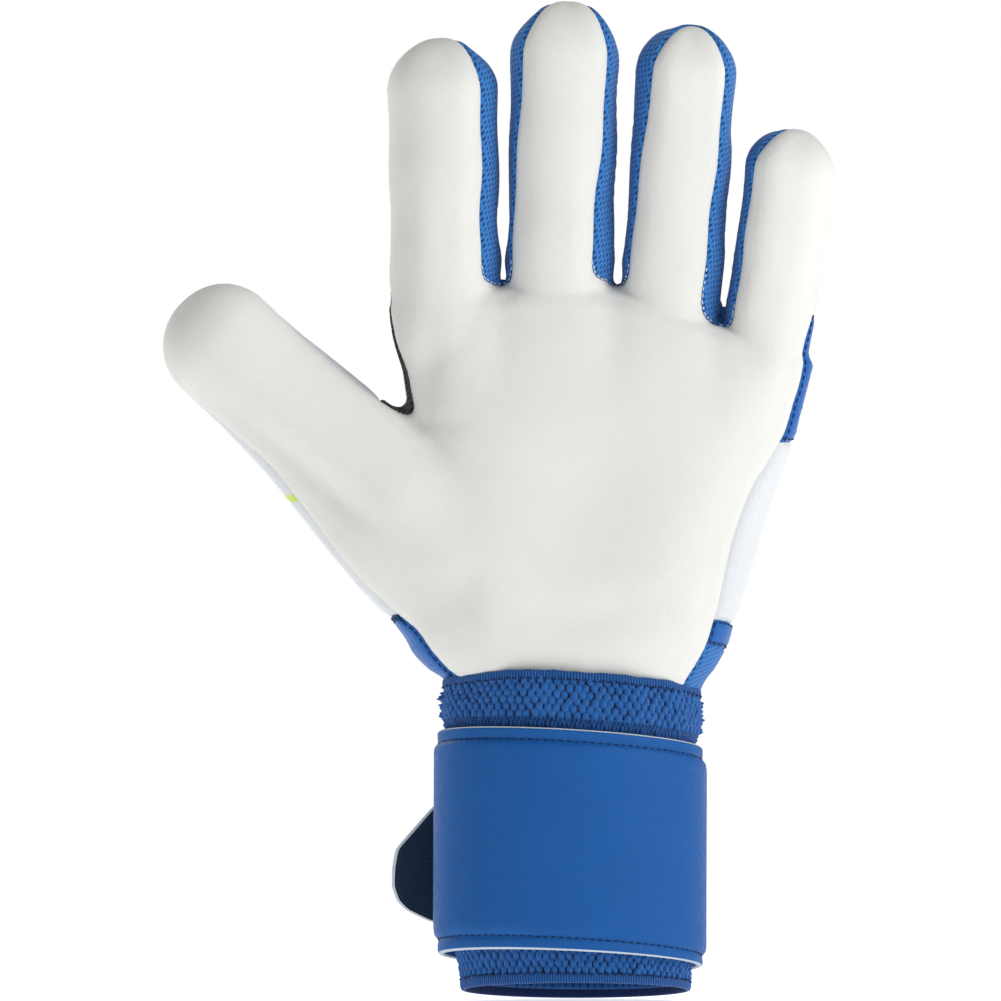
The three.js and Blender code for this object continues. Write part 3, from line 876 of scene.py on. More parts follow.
def latex_paint():
    p = Paint("latex")
    shade = p.mix(p.noise(0.045), srgb(214, 214, 210), srgb(220, 220, 216))
    pores = p("TexVoronoi", {"Vector": p.rest, "Scale": 1.5}, output="Distance")
    pits = p.between(pores, 0.0, 0.32)
    grain = p.noise(2.6, 4.0)
    # Painted shade: each pit is coloured up to 14% darker towards its middle.
    colour = p.mix(p.between(pores, 0.0, 0.25, 0.14, 0.0), shade, srgb(190, 190, 184))
    normal = p.bump(pits, 0.10, 0.5)
    normal = p.bump(grain, 0.12, 0.5, normal)
    rough = p.between(p.noise(0.3), 0.3, 0.7, 0.72, 0.84)
    return p.finish(colour, rough, normal)


MESH_SLANT = math.radians(33)
MESH_HOLE = (2.1, 1.05)  # from one hole to the next, along a row and across the rows


def mesh_paint(name, dark, light, hole):
    """Air mesh: slanted rows of small long holes between rounded yarns, the holes in painted shade."""
    p = Paint(name)
    times = lambda a, b: p.math("MULTIPLY", a, b)
    along, around = [p("SeparateXYZ", {0: p.weave}, output=axis) for axis in "XY"]
    cos, sin = math.cos(MESH_SLANT), math.sin(MESH_SLANT)
    u = p.math("ADD", times(along, cos), times(around, sin))
    v = p.math("SUBTRACT", times(around, cos), times(along, sin))
    row = p.math("DIVIDE", v, MESH_HOLE[1])
    stagger = times(p.math("MODULO", p.math("FLOOR", row), 2.0), 0.5)
    a = p.math("SUBTRACT", p.math("FRACT", p.math("ADD", p.math("DIVIDE", u, MESH_HOLE[0]), stagger)), 0.5)
    b = p.math("SUBTRACT", p.math("FRACT", row), 0.5)
    squares = [p.math("POWER", times(value, size), 2.0) for value, size in ((a, 2.1), (b, 2.7))]
    yarn = p.between(p.math("SQRT", p.math("ADD", *squares)), 0.45, 0.85)
    colour = p.mix(p.noise(3.5, 3.0), dark, light)
    # The holes take the hole colour: painted shade in the openings.
    colour = p.mix(yarn, hole, colour)
    threads = p("TexWave", {"Vector": p.rest, "Scale": 0.9, "Distortion": 3.0}, output="Fac")
    normal = p.bump(yarn, 0.5, 0.9)
    normal = p.bump(threads, 0.1, 0.4, normal)
    return p.finish(colour, 0.85, normal, sheen_weight=0.15)


def leather_paint(name, colour, other, rough=0.45, grain=1.0):
    """Soft synthetic leather: a fine pebbled grain, a little uneven in tone."""
    p = Paint(name)
    tone = p.mix(p.noise(0.05, 2.0), colour, other)
    marked = p("Attribute", attribute_name="accent", output="Fac")
    tone = p.mix(p.between(marked, 0.35, 0.65), tone, ACCENT)
    cells = p("TexVoronoi", {"Vector": p.rest, "Scale": 1.9 / grain}, output="Distance")
    creases = p.noise(0.9, 5.0)
    normal = p.bump(cells, 0.16, 0.6)
    normal = p.bump(creases, 0.14, 0.6, normal)
    gloss = p.between(p.noise(0.5), 0.3, 0.7, rough - 0.05, rough + 0.07)
    return p.finish(tone, gloss, normal)


def knit_paint(name, deep, dark, light):
    """Knitted yarn: painted shade between its cells (the deep colour), fuzzy on top of them."""
    p = Paint(name)
    fuzz = p.noise(2.2, 4.0)
    colour = p.mix(fuzz, dark, light)
    height = p("SeparateXYZ", {0: p.weave}, output="Z")
    # Where the relief height is low the knit takes the deep colour: painted shade between its cells and ribs.
    colour = p.mix(p.between(height, 0.05, 0.8), deep, colour)
    yarn = p("TexWave", {"Vector": p.rest, "Scale": 1.1, "Distortion": 4.0, "Detail": 2.0}, output="Fac")
    normal = p.bump(yarn, 0.16, 0.6)
    normal = p.bump(fuzz, 0.2, 0.5, normal)
    return p.finish(colour, 0.9, normal, sheen_weight=0.2)


def thread_paint(name, colour):
    p = Paint(name)
    twist = p("TexWave", {"Vector": p.rest, "Scale": 2.0, "Distortion": 1.0}, output="Fac")
    lighter = (*[c * 1.25 for c in colour[:3]], 1)
    tone = p.mix(p.noise(2.0), colour, lighter)
    return p.finish(tone, 0.6, p.bump(twist, 0.08, 0.6))


PAINTS = {
    "latex": latex_paint(),
    # Each mesh paint's last colour is the painted shade in its holes.
    "mesh": mesh_paint("blue_mesh", srgb(36, 104, 176), srgb(60, 132, 206), srgb(22, 68, 130)),
    "charcoal": mesh_paint("charcoal_mesh", srgb(50, 52, 54), srgb(76, 79, 82), srgb(24, 25, 27)),
    "white": leather_paint("white_back", srgb(203, 207, 211), srgb(211, 214, 217), 0.42),
    "blue": leather_paint("blue_back", srgb(24, 86, 158), srgb(30, 94, 168), 0.42),
    "strap": leather_paint("strap_blue", srgb(8, 78, 146), srgb(14, 84, 154), 0.5, 0.8),
    # Each knit paint's first colour is the painted shade between its cells.
    "knit": knit_paint("blue_knit", srgb(8, 42, 92), srgb(20, 78, 146), srgb(36, 104, 178)),
    "navy": knit_paint("navy_tape", srgb(6, 16, 30), srgb(12, 30, 52), srgb(22, 46, 74)),
    "cut_edge": leather_paint("cut_edge", srgb(176, 186, 196), srgb(204, 212, 220), 0.8),
    "lining": leather_paint("lining", srgb(196, 198, 200), srgb(206, 208, 210), 0.9),
    "dark_thread": thread_paint("dark_thread", srgb(14, 40, 80)),
    "pale_thread": thread_paint("pale_thread", srgb(190, 200, 214)),
}

# ---- The hand's pieces ----


def dress(piece, paint, *others):
    """Gives a piece its paints, one material slot each, in order."""
    for name in (paint, *others):
        piece.data.materials.append(PAINTS[name])


def along_digit(digit, s):
    at = digit.near + np.array([digit.along[0], 0, digit.along[1]]) * s
    return tuple(at * MM)


def fold_piece(piece, stretch):
    """Works out where the fold that a piece's stretch crosses begins and ends, without bending the piece, and
    bakes its placement into its mesh.
    """
    if stretch == "palm":
        axis = JOINTS["knuckle_fold"]["axis"]
        along = unit(np.array([-axis[2], 0, axis[0]]))
        start, end = [tuple(joint_at("knuckle_fold") * MM + along * reach * MM) for reach in KNUCKLE_REACH]
        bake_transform(piece)
        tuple(start)
        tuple(end)
        return
    name, part = stretch.rsplit("_", 1)
    digit, reach = DIGITS[name], FOLD_REACH[name]
    at = 0 if part == "middle" else digit.spacing
    along_digit(digit, at - reach)
    along_digit(digit, at + reach)
    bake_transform(piece)


def make_hand():
    skin = Skin()
    zone_the_skin(skin)
    shape_the_skin(skin)
    skin.along, skin.around = weave_coordinates(skin.base)

    def piece(name, zones, stretch, nodes):
        made = skin_piece(skin, name, zones, stretch)
        dress(made, PANELS[zones[0]][2])
        fold_piece(made, stretch)
        if nodes:
            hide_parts(*nodes)

    for name, zone, nodes in (
        ("palm_skin", "latex", ["palm_latex", "knuckle_latex"]),
        ("backhand_skin", "back", ["backhand_panel"]),
        ("tape_skin", "tape", ["backhand_tape"]),
        ("back_mesh_skin", "back_mesh", ["backhand_mesh"]),
        ("thumb_gusset_skin", "thumb_gusset", ["thumb_gusset"]),
        ("thumb_patch_skin", "thumb_patch", ["thumb_base_patch"]),
        ("knuckle_panel_skin", "knuckle_panel", ["knuckle_panel"]),
        ("finger_back_bases", "finger_back", [f"{finger}_back_base" for finger in FINGERS]),
        ("crotch_gussets", "gusset", ["index_middle_crotch", "middle_ring_crotch", "ring_pinky_crotch"]),
    ):
        piece(name, [zone], "palm", nodes)
    for name in DIGITS:
        back = ["finger_back", "knuckle_panel"]
        if name == "thumb":
            back = ["back", "knuckle_panel", "tape", "thumb_patch", "finger_back"]
        for part in ("middle", "tip"):
            stretch = f"{name}_{part}"
            piece(f"{stretch}_latex_skin", ["latex"], stretch, [f"{stretch}_latex"])
            piece(f"{stretch}_back_skin", back, stretch, [f"{stretch}_back"])
            if name == "thumb":
                continue
            two_sides = name in ("middle", "ring") and part == "middle"
            gussets = [f"{stretch}_gusset{side}" for side in (("_left", "_right") if two_sides else ("",))]
            piece(f"{stretch}_gusset_skin", ["gusset"], stretch, gussets)
    piece("thumb_gusset_edge", ["thumb_gusset"], "thumb_middle", [])
    return skin


def make_lining():
    """The inside of the palm and the back, seen through the wrist's opening."""
    inside = lambda p: np.maximum(palm_distance(p) + 2.6, p[:, 2] - 190)
    points, quads = surface_nets(inside, (-70, -30, 80), (90, 30, 196), 2.5)
    points = points + gradient(palm_distance, points) * (0.3 * waves(points, 14, 8))[:, None]
    kept = (points[quads][:, :, 2] > 84).all(1)
    used, index = np.unique(quads[kept][:, ::-1], return_inverse=True)
    x, _, z = points[used].T
    made = add_mesh("inner_lining", points[used], index.reshape(-1, 4), np.column_stack([z, x, 0 * x + 5.0]))
    dress(made, "lining")
    fold_piece(made, "palm")


# ---- Stitches ----


def capsules(ends, ups, radius):
    """Short arched threads, one from each pair of ends, standing off the cloth along its own up."""
    points, faces = [], []
    sides = 6
    turn = np.arange(sides) * 2 * np.pi / sides
    for (a, b), up in zip(ends, ups):
        way = unit(b - a)
        side = unit(np.cross(way, up))
        high = np.cross(side, way)
        first = len(points)
        points.append(a - way * radius * 0.5 - high * radius)
        for t, r in ((0.06, 0.75), (0.3, 1.0), (0.7, 1.0), (0.94, 0.75)):
            arch = radius * (0.2 + 1.3 * math.sin(math.pi * t))
            middle = a + (b - a) * t + high * (arch - radius * 0.6)
            points += [middle + (side * math.cos(q) + high * math.sin(q)) * radius * r for q in turn]
        points.append(b + way * radius * 0.5 - high * radius)
        last = len(points) - 1
        for k in range(sides):
            n = (k + 1) % sides
            faces.append((first, first + 1 + n, first + 1 + k))
            for ring in range(3):
                p, q = first + 1 + ring * sides, first + 1 + (ring + 1) * sides
                faces.append((p + k, p + n, q + n, q + k))
            p = first + 1 + 3 * sides
            faces.append((p + k, p + n, last))
    return np.array(points), faces


def thread_piece(name, ends, ups, radius, paint="dark_thread"):
    made = add_mesh(name, *capsules(ends, ups, radius))
    dress(made, paint)
    return made


def resample(path, ups, pitch):
    """Points at even distances along a line, with their ups."""
    step = np.linalg.norm(np.diff(path, axis=0), axis=1)
    at = np.concatenate([[0], np.cumsum(step)])
    where = np.arange(pitch * 0.5, at[-1], pitch)
    points = np.column_stack([np.interp(where, at, path[:, i]) for i in range(3)])
    normal = unit(np.column_stack([np.interp(where, at, ups[:, i]) for i in range(3)]))
    return points, normal


def stitch_row(path, ups, pitch, length, seed, uneven):
    """Stitches along a line, each a little off it."""
    points, normal = resample(path, ups, pitch)
    if len(points) < 3:
        return [], []
    way = unit(np.gradient(points, axis=0))
    rng = np.random.default_rng(seed)
    sideways = np.cross(way, normal)
    off, twist = [sideways * rng.normal(0, uneven, (len(points), 1)) for _ in range(2)]
    half = way * length / 2
    return list(zip(points + off - half - twist, points + off + half + twist)), list(normal)


def seam_lines(skin, zone):
    """The lines along which a zone meets the others, as rows of point numbers."""
    links = {}
    for a, b in border(skin.faces[skin.zone == zone]).tolist():
        links.setdefault(a, []).append(b)
        links.setdefault(b, []).append(a)
    lines = []
    for first in sorted(links, key=lambda v: (len(links[v]) > 1, v)):
        while links[first]:
            line = [first]
            while links[line[-1]]:
                following = links[line[-1]].pop()
                links[following].remove(line[-1])
                line.append(following)
            if len(line) > 8:
                lines.append(line)
    return lines


def along_run(rows, window, mode):
    """Each column of a run of rows, summed over a window."""
    return np.column_stack([np.convolve(column, np.ones(window), mode) for column in rows.T])


def skin_stitches(skin, name, zone, inset, pitch, length, paint="dark_thread", keep=lambda p: True):
    """Stitches in the palm's stretch, just inside the edges of a zone."""
    tree = tree_of(skin.points)
    mine = skin.faces[skin.zone == zone]
    centre = skin.points[mine].mean(1)
    inward = np.zeros_like(skin.points)
    for i in range(3):
        np.add.at(inward, mine[:, i], centre - skin.points[mine[:, i]])
    palm = np.zeros(len(skin.points), bool)
    palm[skin.faces[skin.stretch == "palm"]] = True
    ends, ups = [], []
    for line in seam_lines(skin, zone):
        line = np.array(line)
        good = palm[line] & keep(skin.base[line])
        runs = np.split(line, np.flatnonzero(np.diff(good.astype(int))) + 1)
        for run in runs[0 if good[0] else 1 :: 2]:
            if len(run) < 8:
                continue
            evened = np.pad(skin.points[run], ((2, 2), (0, 0)), "edge")
            at = along_run(evened, 5, "valid") / 5 + unit(along_run(inward[run], 7, "same")) * inset
            near = np.array([tree.find(q)[1] for q in at])
            normal = skin.normals[near]
            at += normal * ((skin.points[near] - at) * normal).sum(1, keepdims=True)
            some, other = stitch_row(at, normal, pitch, length, 11, 0.05)
            ends += some
            ups += other
    fold_piece(thread_piece(name, ends, ups, 0.2, paint), "palm")


def stitch_the_hand(skin):
    for zone, inset in (("tape", 1.1), ("thumb_patch", 1.1), ("knuckle_panel", 1.5)):
        skin_stitches(skin, f"{zone}_stitches", zone, inset, 2.3, 1.7)
    palm_side = lambda p: p[:, 1] < 4
    skin_stitches(skin, "crotch_stitches", "gusset", 0.55, 1.9, 1.1, "pale_thread", palm_side)


# ---- The cuff ----

CUFF_DROP = (-0.06, -0.13)  # how levels fall towards the little finger and towards the back
WRIST_OVAL = (0, 37, 24)  # the oval that the knit is counted round: centre, half width, half depth
EDGE_SIZE = (0.0, 37.8, 26.0)  # the strap's edge bands: centre, half width, half depth
PANEL_RISE = 1.15  # how far the strap's padded panel stands beyond them
STRAP_BOTTOM, STRAP_TOP = 7.4, 69.6
STRAP_THICK = 2.0
STRAP_STEPS = 96  # columns up the strap's outer side
STITCH_IN = 3.2  # from the strap's cut edges to its stitching
FLAP_SIZE = (-2.0, 41.2, 32.9)
FLAP_START = math.radians(-9)
FLAP_END_X = -25.8
BACK_END_X = 20.0
PATCH_LEVELS = (16, 62)
PATCH_X = (-22, 10)

# The bandage by level: centre, half width, half depth.
BANDAGE = [
    (-2, 1.7, 32.4, 21.0),
    (3, 1.5, 33.0, 21.4),
    (9, 1.1, 34.0, 22.0),
    (16, 0.4, 34.9, 22.6),
    (58, 0.0, 35.1, 22.8),
    (68, 0.0, 35.5, 23.0),
    (72, 0.1, 36.3, 23.5),
    (78, 0.3, 36.8, 24.0),
    (85, 0.5, 36.1, 24.1),
    (89, 0.5, 35.9, 24.1),
]
CELL = (2.45, 1.95)  # a knit cell's width and height
RIBBED_TOP = 73.2  # a plain ribbed band reaches from the strap to here, below the puffy knit
TOP_HEM = (84.1, 86.6)
TOP_DIP = 1.8  # how far the bandage's top drops at the thumb's side
BOTTOM_HEM = (-1.7, 1.0)


def around(start, end, step, size):
    """Angles at even distances round an ellipse, and those distances, as columns."""
    fine = np.linspace(start, end, 4000)
    x, y = size[1] * np.cos(fine), size[2] * np.sin(fine)
    at = np.concatenate([[0], np.cumsum(np.hypot(np.diff(x), np.diff(y)))])
    count = int(round(at[-1] / step)) + 1
    arc = np.linspace(0, at[-1], count)
    return np.interp(arc, at, fine)[:, None], arc[:, None]


def wrist_points(angle, size, out, high):
    """Points round the wrist: out from the ellipse, at levels that lean with the cuff."""
    x0, wide, deep = size
    normal = unit(np.stack([np.cos(angle) / wide, np.sin(angle) / deep], -1))
    x = x0 + wide * np.cos(angle) + normal[..., 0] * out
    y = deep * np.sin(angle) + normal[..., 1] * out
    sideways = CUFF_DROP[0] * smooth(-3, 12, high)
    dip = TOP_DIP * smooth(-10, -36, x) * smooth(76, 83, high)
    return np.stack([x, y, high + x * sideways + y * CUFF_DROP[1] - dip], -1)


def band(name, points, closed, arc, high, relief, rim=()):
    """A band round the wrist from rows of closed sections. Faces between rim columns get material 1."""
    weave = np.stack(np.broadcast_arrays(arc, high, relief), -1)
    if closed:  # the last row repeats the first
        points, weave = points[:-1], weave[:-1]
    rows, columns = points.shape[:2]
    i = np.arange(rows if closed else rows - 1)[:, None]
    j = np.arange(columns)[None]
    next_i, next_j = (i + 1) % rows, (j + 1) % columns
    ring = [i * columns + j, next_i * columns + j, next_i * columns + next_j, i * columns + next_j]
    faces = np.stack(ring, -1).reshape(-1, 4).tolist()
    on_rim = np.tile(np.isin(np.arange(columns), rim), len(i)).tolist()
    if not closed:
        faces.append(list(range(columns)))
        faces.append([(rows - 1) * columns + k for k in reversed(range(columns))])
        on_rim += [True, True]
    made = add_mesh(name, points.reshape(-1, 3), faces, weave.reshape(-1, 3))
    made.data.polygons.foreach_set("material_index", [int(r) for r in on_rim])
    return made


def puffs(u, v, wide, tall, seed=0.0):
    """Height of a knit of staggered rounded cells, 0 between them and 1 on their tops."""
    best = np.zeros(np.broadcast(u, v).shape)
    for shift in (0, 1):
        row = np.floor(v / tall) + shift
        offset = 0.5 * (row % 2)
        cell = np.floor(u / wide - offset + 0.5)
        wobble = np.sin(cell * 12.9898 + row * 78.233 + seed) * 43758.5453
        wobble = wobble - np.floor(wobble)
        other = wobble * 7.13 - np.floor(wobble * 7.13)
        du = (u / wide - offset - cell) * 2 - 0.35 * (wobble - 0.5)
        dv = (v - row * tall) / tall * 1.25 - 0.35 * (other - 0.5)
        far = np.sqrt(du * du + dv * dv + 0.4 * du * dv * (other - 0.5)) / (0.91 + 0.12 * wobble)
        best = np.maximum(best, np.sqrt(np.clip(1 - far**2, 0, 1)) * (0.82 + 0.18 * wobble))
    return best


def ruffle(arc, high, turn=0.0):
    """The slow waves of the bandage's free top."""
    return 0.28 * np.sin(arc * 0.21 + 0.06 * high) + 0.22 * np.sin(arc * 0.43 + 2 + turn)


def make_bandage():
    angle, arc = around(0, 2 * np.pi, 0.27, WRIST_OVAL)
    cells = round(float(arc[-1, 0]) / CELL[0])
    u = arc / arc[-1] * cells
    # Levels up the outer side, fine where the knit shows above and below the strap, then down the inner side.
    low = np.arange(BOTTOM_HEM[1] - 0.5, 12, 0.32)
    middle = np.arange(64, 13, -4.0)[::-1]
    top = np.arange(TOP_HEM[0] + 0.7, 66.5, -0.3)[::-1]
    outside = np.concatenate([low, middle, top])
    inside = np.concatenate([np.arange(84, 12, -4.0), np.arange(11.5, BOTTOM_HEM[1] - 0.4, -0.5)])
    high = np.concatenate([outside, inside])[None]
    is_out = np.arange(high.size)[None] < len(outside)
    ribs = puffs(u * 2, high, 1.0, 1.7, 2.0)
    ribbed = smooth(RIBBED_TOP + 0.15, RIBBED_TOP - 0.15, high) * (high > 40)
    relief = puffs(u, high, 1.0, CELL[1]) * (1 - ribbed) + ribs * ribbed * 0.6
    out = np.where(is_out, 1.45 * relief - 1.0, -0.6 * relief - 2.0)
    # The knit ruffles: slow waves, and a ragged fold at each side above the strap.
    free = smooth(69, 76, high)
    ragged = 0.6 + 0.4 * np.sin(high * 2.3) + 0.35 * np.sin(high * 5.1 + 1)
    spike = 1.7 * bell(high - 80.6, 1.0)
    left = bell(angle - math.radians(183), 0.034)
    right = bell(np.minimum(angle, 2 * np.pi - angle), 0.04)
    out = out + free * (ruffle(arc, high, 0.05 * high) + left * (ragged + spike) + 0.9 * right * ragged)
    size = [curve(BANDAGE, column, high) for column in (1, 2, 3)]
    points = wrist_points(angle, size, out, high + 0 * angle)
    made = band("wrist_bandage_knit", points, True, arc, high, relief)
    dress(made, "knit")
    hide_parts("wrist_bandage")
    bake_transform(made)
    hems = [hem("bandage_top_hem", TOP_HEM, "hand"), hem("bandage_bottom_hem", BOTTOM_HEM, "cuff")]


def hem(node, levels, body):
    """A ribbed edge with a thread of stitches along the side where it meets the knit."""
    low, top = levels
    on_top = low > RIBBED_TOP
    angle, arc = around(0, 2 * np.pi, 0.16, WRIST_OVAL)
    t = np.linspace(0, 2 * np.pi, 22, endpoint=False)[None]
    out = np.sign(np.cos(t)) * np.abs(np.cos(t)) ** 0.5 * 0.8 - 0.5
    high = (low + top) / 2 + (top - low) / 2 * np.sin(t) + 0 * arc
    seam_out = 0.35 + 0 * arc
    if on_top:
        out = out + ruffle(arc, low) + 0.25
        high = high + 0.1 * np.sin(arc * 0.37) + 0.08 * np.sin(arc * 0.9 + 1)
        seam_out = seam_out + ruffle(arc, low) + 0.2
    count = round(float(arc[-1, 0]) / 0.88)
    ribs = 0.5 + 0.5 * np.cos(arc / arc[-1] * count * 2 * np.pi)
    size = [curve(BANDAGE, column, high) for column in (1, 2, 3)]
    points = wrist_points(angle, size, out + 0.16 * ribs, high)
    # Its inner side gets no relief height, so the knit paint colours it all in its painted shade.
    made = band(f"{node}_knit", points, True, arc, high, ribs * (np.cos(t) > -0.2))
    dress(made, "knit")
    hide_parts(node)
    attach(made, body)
    seam_level = low if on_top else top
    line = wrist_points(angle, [s[:, :1] for s in size], seam_out, seam_level + 0 * arc)[:, 0]
    ups = unit(line - np.array([0.5, 0, 0]) - line * np.array([0, 0, 1]))
    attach(thread_piece(f"{node}_stitches", *stitch_row(line, ups, 2.3, 1.7, 5, 0.10), 0.24), body)
    return made


def strap_section():
    """The section, round from the lower cut edge: how far out, at what level, and its cut-edge columns."""
    bottom, top, inner = STRAP_BOTTOM, STRAP_TOP, -STRAP_THICK
    down = np.linspace(top - 4, bottom + 4, 14)
    high = [bottom, bottom + 0.12, *np.linspace(bottom + 0.5, top - 0.5, STRAP_STEPS)]
    out = [-0.35, -0.05, *[0.0] * STRAP_STEPS]
    high += [top - 0.12, top, top + 0.32, top + 0.4, top + 0.4, top, *down]
    out += [-0.05, -0.35, -0.45, -0.9, inner + 0.3, inner, *[inner] * len(down)]
    high += [bottom, bottom - 0.4, bottom - 0.4, bottom - 0.32]
    out += [inner, inner + 0.3, -0.9, -0.45]
    rim = [*range(STRAP_STEPS + 3, STRAP_STEPS + 8), *range(len(high) - 4, len(high))]
    return np.array(out)[None], np.array(high)[None], rim


def strap_relief(high, arc, seed):
    """The padded panel between the strap's two stitched edges."""
    up = high - (STRAP_BOTTOM + STITCH_IN)
    down = (STRAP_TOP - STITCH_IN) - high
    into = np.minimum(up, down)
    groove = -0.55 * bell(into, 0.55)
    pad = PANEL_RISE * np.sqrt(np.clip(1 - (1 - np.clip(into / 3.4, 0, 1)) ** 2, 0, 1))
    slack = 0.14 * np.sin(arc * 0.085 + 1 + seed) * np.sin(high * 0.06 + 0.5)
    slack = slack + 0.05 * np.sin(arc * 0.9) * bell(into, 2.2) * (into > -1)
    return groove + pad + slack * np.clip(into / 4, 0, 1)


def strap_piece(name, angle, arc, size, seed=0):
    """A length of the strap, after its two rows of stitches."""
    out, high, rim = strap_section()
    outside = np.arange(out.size)[None] < STRAP_STEPS + 5
    lift = strap_relief(high, arc, seed) * outside
    points = wrist_points(angle, size, out + lift, high + 0 * angle)
    made = band(name, points, False, arc, high, lift, rim)
    dress(made, "strap", "cut_edge")
    for row, level in enumerate((STRAP_BOTTOM + STITCH_IN, STRAP_TOP - STITCH_IN)):
        line = wrist_points(angle, size, -0.38, level + 0 * angle)[:, 0]
        ups = unit((line - np.array([np.mean(size[0]), 0, 0])) * np.array([1, 1.4, 0]))
        stitches = stitch_row(line, ups, 2.25, 1.65, 7 + row, 0.05)
        yield thread_piece(f"{name}_stitches_{row + 1}", *stitches, 0.24)
    yield made


def patch(node, size, out, thick, body):
    """A patch of hook or loop tape on the back, sewn flat."""
    low, top = PATCH_LEVELS
    start, end = [math.acos((x - size[0]) / size[1]) for x in reversed(PATCH_X)]
    angle, arc = around(start, end, 0.8, size)
    high = np.array([low, *np.linspace(low + 0.3, top - 0.3, 50), top, top, low])[None]
    rise = np.array([thick - 0.3, *[thick] * 50, thick - 0.3, 0, 0])[None]
    fuzzy = np.array([0, *[1] * 50, 0, 0, 0])
    # Its edge rows get no relief height, so the knit paint colours them in its painted shade.
    rough = puffs(arc * 1.1, high * 1.1, 1.0, 1.0) * fuzzy
    points = wrist_points(angle, size, rise + out + 0.25 * (rough - 1) * fuzzy, high + 0 * arc)
    made = band(f"{node}_tape", points, False, arc, high, rough)
    dress(made, "navy", "navy")
    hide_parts(node)
    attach(made, body)


def make_strap():
    back_end = math.acos(BACK_END_X / EDGE_SIZE[1])
    angle, arc = around(back_end, 2 * np.pi + FLAP_START, 1.0, EDGE_SIZE)
    for made in strap_piece("strap_band_skin", angle, arc, EDGE_SIZE):
        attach(made, "cuff")
    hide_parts("strap_band")

    # The strap's free end leaves the band's line at the little finger's side and lies over it on the back.
    end = math.acos((FLAP_END_X - FLAP_SIZE[0]) / FLAP_SIZE[1])
    angle, arc = around(FLAP_START, end, 1.0, FLAP_SIZE)
    away = smooth(FLAP_START, math.radians(38), angle)
    size = [a + (b - a) * away for a, b in zip(EDGE_SIZE, FLAP_SIZE)]
    for made in strap_piece("strap_flap_skin", angle, arc, size, 2):
        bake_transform(made)
    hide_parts("strap_flap")
    patch("loop_patch", (0, EDGE_SIZE[1], EDGE_SIZE[2]), 1.2, 1.2, "cuff")
    inner = (FLAP_SIZE[0], FLAP_SIZE[1] - STRAP_THICK, FLAP_SIZE[2] - STRAP_THICK)
    patch("hook_patch", inner, -1.3, 1.3, "strap_end")


# The pull tab's outline: distance from the strap's end, and height. Its corners are half rounded.
TAB_OUTLINE = [
    (-2.5, 17.5), (6, 17.0), (14, 17.3), (20.8, 20.6), (23.4, 23.4), (24.7, 27.5),
    (24.6, 33), (23.6, 38.3), (19.5, 43.6), (14.9, 49.1), (11.5, 52.4), (7, 54), (-2.5, 54.2),
]
TAB_MIDDLE = np.array([10.0, 35.5])
TAB_SLOPE = math.radians(25)
TAB_START = (FLAP_END_X, 25.9, 0)


def tab_edge():
    corners = np.array(TAB_OUTLINE, float)
    edge = []
    for k in range(len(corners)):
        a, b, c, d = [corners[(k + m) % len(corners)] for m in (-1, 0, 1, 2)]
        round_by = 0.5 if 0 < k < len(corners) - 2 else 0.0
        for t in np.linspace(0, 1, 8, endpoint=False):
            straight = b + (c - b) * t
            cubic = (3 * b - a - 3 * c + d) * t**3
            curved = 0.5 * (2 * b + (c - a) * t + (2 * a - 5 * b + 4 * c - d) * t**2 + cubic)
            edge.append(straight * (1 - round_by) + curved * round_by)
    return np.array(edge)


def make_tab():
    along = np.array([-math.cos(TAB_SLOPE), -math.sin(TAB_SLOPE), 0])
    out = np.array([-math.sin(TAB_SLOPE), math.cos(TAB_SLOPE), 0])
    edge = tab_edge()
    inward = unit(TAB_MIDDLE - edge)

    # Rings from the middle of the outer side over the edge to the middle of the inner side: the share of the
    # way to the middle or the inset from the edge, and the height.
    shares = list(np.linspace(0.97, 0.06, 16))
    rings = [(share, None, 0.85) for share in shares]
    rings += [(None, 0.7, 0.85), (None, 0.2, 0.8), (None, 0.0, 0.55), (None, 0.0, -0.2)]
    rings += [(None, 0.16, -0.28), (None, 0.28, -0.3), (None, 0.36, -0.72), (None, 0.7, -0.85)]
    rings += [(share, None, -0.85) for share in reversed(shares)]
    outer_rings, edge_rings = 17, 22  # up to here the strap's leather, then the cut edge, then the tape
    points, weave = [], []
    for share, inset, height in rings:
        loop = edge + (TAB_MIDDLE - edge) * share if inset is None else edge + inward * inset
        from_end, up = loop[:, :1], loop[:, 1:]
        fuzzy = height == -0.85 and share is not None
        fuzz = puffs(from_end * 1.15, up * 1.15, 1.0, 1.0) * fuzzy
        lift = height + 0.010 * np.clip(from_end, 0, None) ** 2 - 0.2 * fuzz
        points.append(np.array(TAB_START) + along * from_end + out * lift + np.array([0, 0, 1]) * up)
        weave.append(np.column_stack([loop, fuzz + 0.3 * (height < -0.5)]))
    n = len(edge)
    faces, material = [], []
    for r in range(len(rings) - 1):
        for k in range(n):
            ahead = (k + 1) % n
            faces.append((r * n + k, (r + 1) * n + k, (r + 1) * n + ahead, r * n + ahead))
        material += [1 if r < outer_rings else 2 if r < edge_rings else 0] * n
    faces.append(list(range(n)))
    faces.append([(len(rings) - 1) * n + k for k in reversed(range(n))])
    material += [1, 0]
    made = add_mesh("pull_tab_tape", np.vstack(points), faces, np.vstack(weave))
    dress(made, "navy", "strap", "cut_edge")
    made.data.polygons.foreach_set("material_index", material)
    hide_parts("pull_tab")
    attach(made, "strap_tab")


skin = make_hand()
make_lining()
stitch_the_hand(skin)
make_bandage()
make_strap()
make_tab()

# ---- Floor, light and camera ----

VIEW_WIDTH = 0.2855  # metres across the picture at the glove
VIEW_FAR = 5.5  # far enough away to see the glove almost without perspective
VIEW_MIDDLE = (-0.0198, 0.1382)  # in X and Z
SENSOR = 36


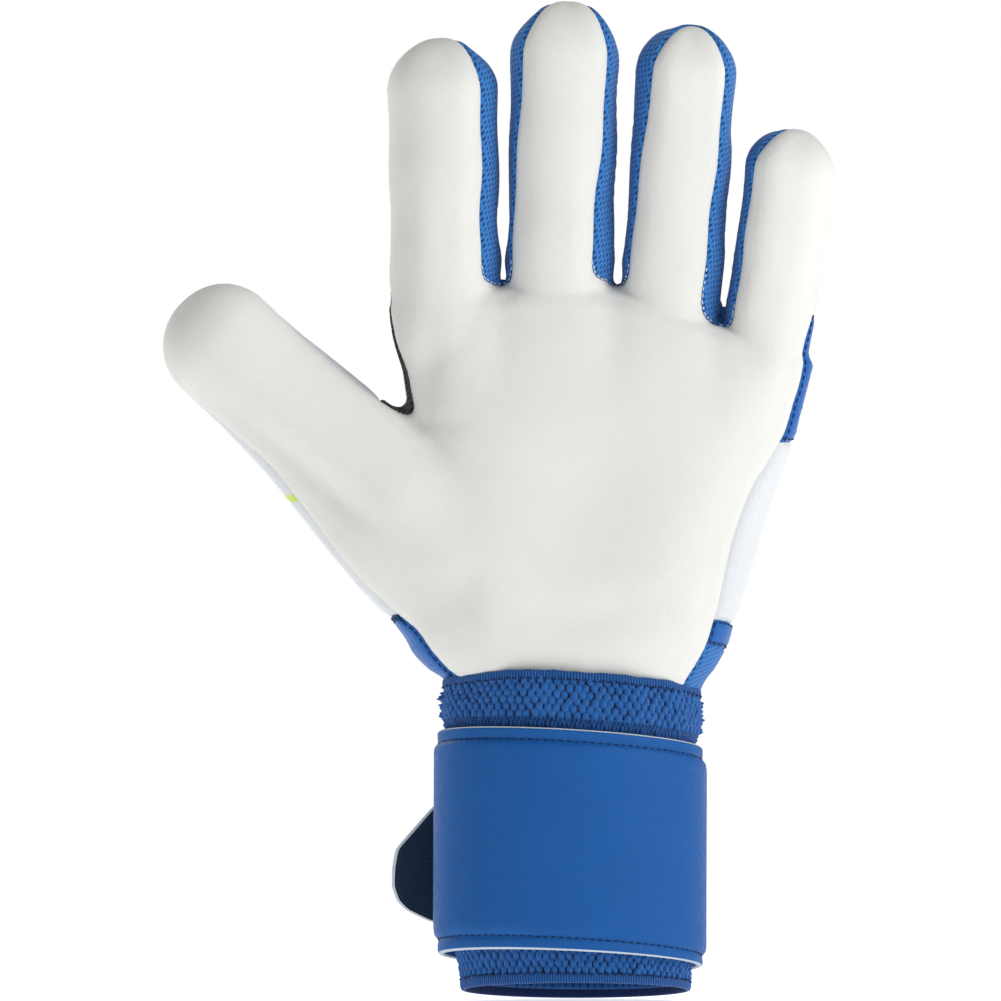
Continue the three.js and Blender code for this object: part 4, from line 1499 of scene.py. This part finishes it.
def make_floor():
    lowest = (CAD_BOX[0][2] - 0.001) / MM
    corners = [(x * 9000, y * 9000, lowest) for x, y in ((-1, -1), (1, -1), (1, 1), (-1, 1))]
    floor = add_mesh("floor", corners, [(0, 1, 2, 3)])
    p = Paint("floor")
    speckle = p.mix(p.noise(0.02), srgb(248, 248, 248), srgb(252, 252, 252))
    floor.data.materials.append(p.finish(speckle, 0.9, emission_color=(1, 1, 1, 1), emission_strength=0.71))


def make_sky():
    """White around the horizon, softer overhead."""
    world = bpy.data.worlds.new("studio")
    world.use_nodes = True
    nodes, links = world.node_tree.nodes, world.node_tree.links
    way = nodes.new("ShaderNodeTexCoord")
    parts = nodes.new("ShaderNodeSeparateXYZ")
    rise = nodes.new("ShaderNodeMapRange")
    links.new(way.outputs["Generated"], parts.inputs[0])
    links.new(parts.outputs["Z"], rise.inputs["Value"])
    for name, value in (("From Min", 0.12), ("From Max", 0.4), ("To Min", 1.0), ("To Max", 0.25)):
        rise.inputs[name].default_value = value
    links.new(rise.outputs[0], nodes["Background"].inputs["Strength"])
    nodes["Background"].inputs["Color"].default_value = (1, 1, 1, 1)
    bpy.context.scene.world = world
    bpy.context.scene.view_settings.view_transform = "Standard"


def lamp(name, at, size, power):
    data = bpy.data.lights.new(name, "AREA")
    data.size = size
    data.energy = power
    obj = bpy.data.objects.new(name, data)
    obj.location = at
    obj.rotation_euler = (Vector((0, 0, 0.14)) - Vector(at)).to_track_quat("-Z", "Y").to_euler()
    bpy.context.scene.collection.objects.link(obj)


def make_camera():
    """Looks along +Y."""
    data = bpy.data.cameras.new("camera")
    data.sensor_width = SENSOR
    data.lens = SENSOR * VIEW_FAR / VIEW_WIDTH
    obj = bpy.data.objects.new("camera", data)
    obj.location = (VIEW_MIDDLE[0], CAD_BOX[0][1] - VIEW_FAR + 0.02, VIEW_MIDDLE[1])
    obj.rotation_euler = (math.radians(90), 0, 0)
    bpy.context.scene.collection.objects.link(obj)
    bpy.context.scene.camera = obj


make_floor()
make_sky()
lamp("key", (1.35, -0.8, 1.1), 0.6, 17.5)
lamp("back_key", (-1.2, 1.3, 0.9), 0.7, 9)
make_camera()
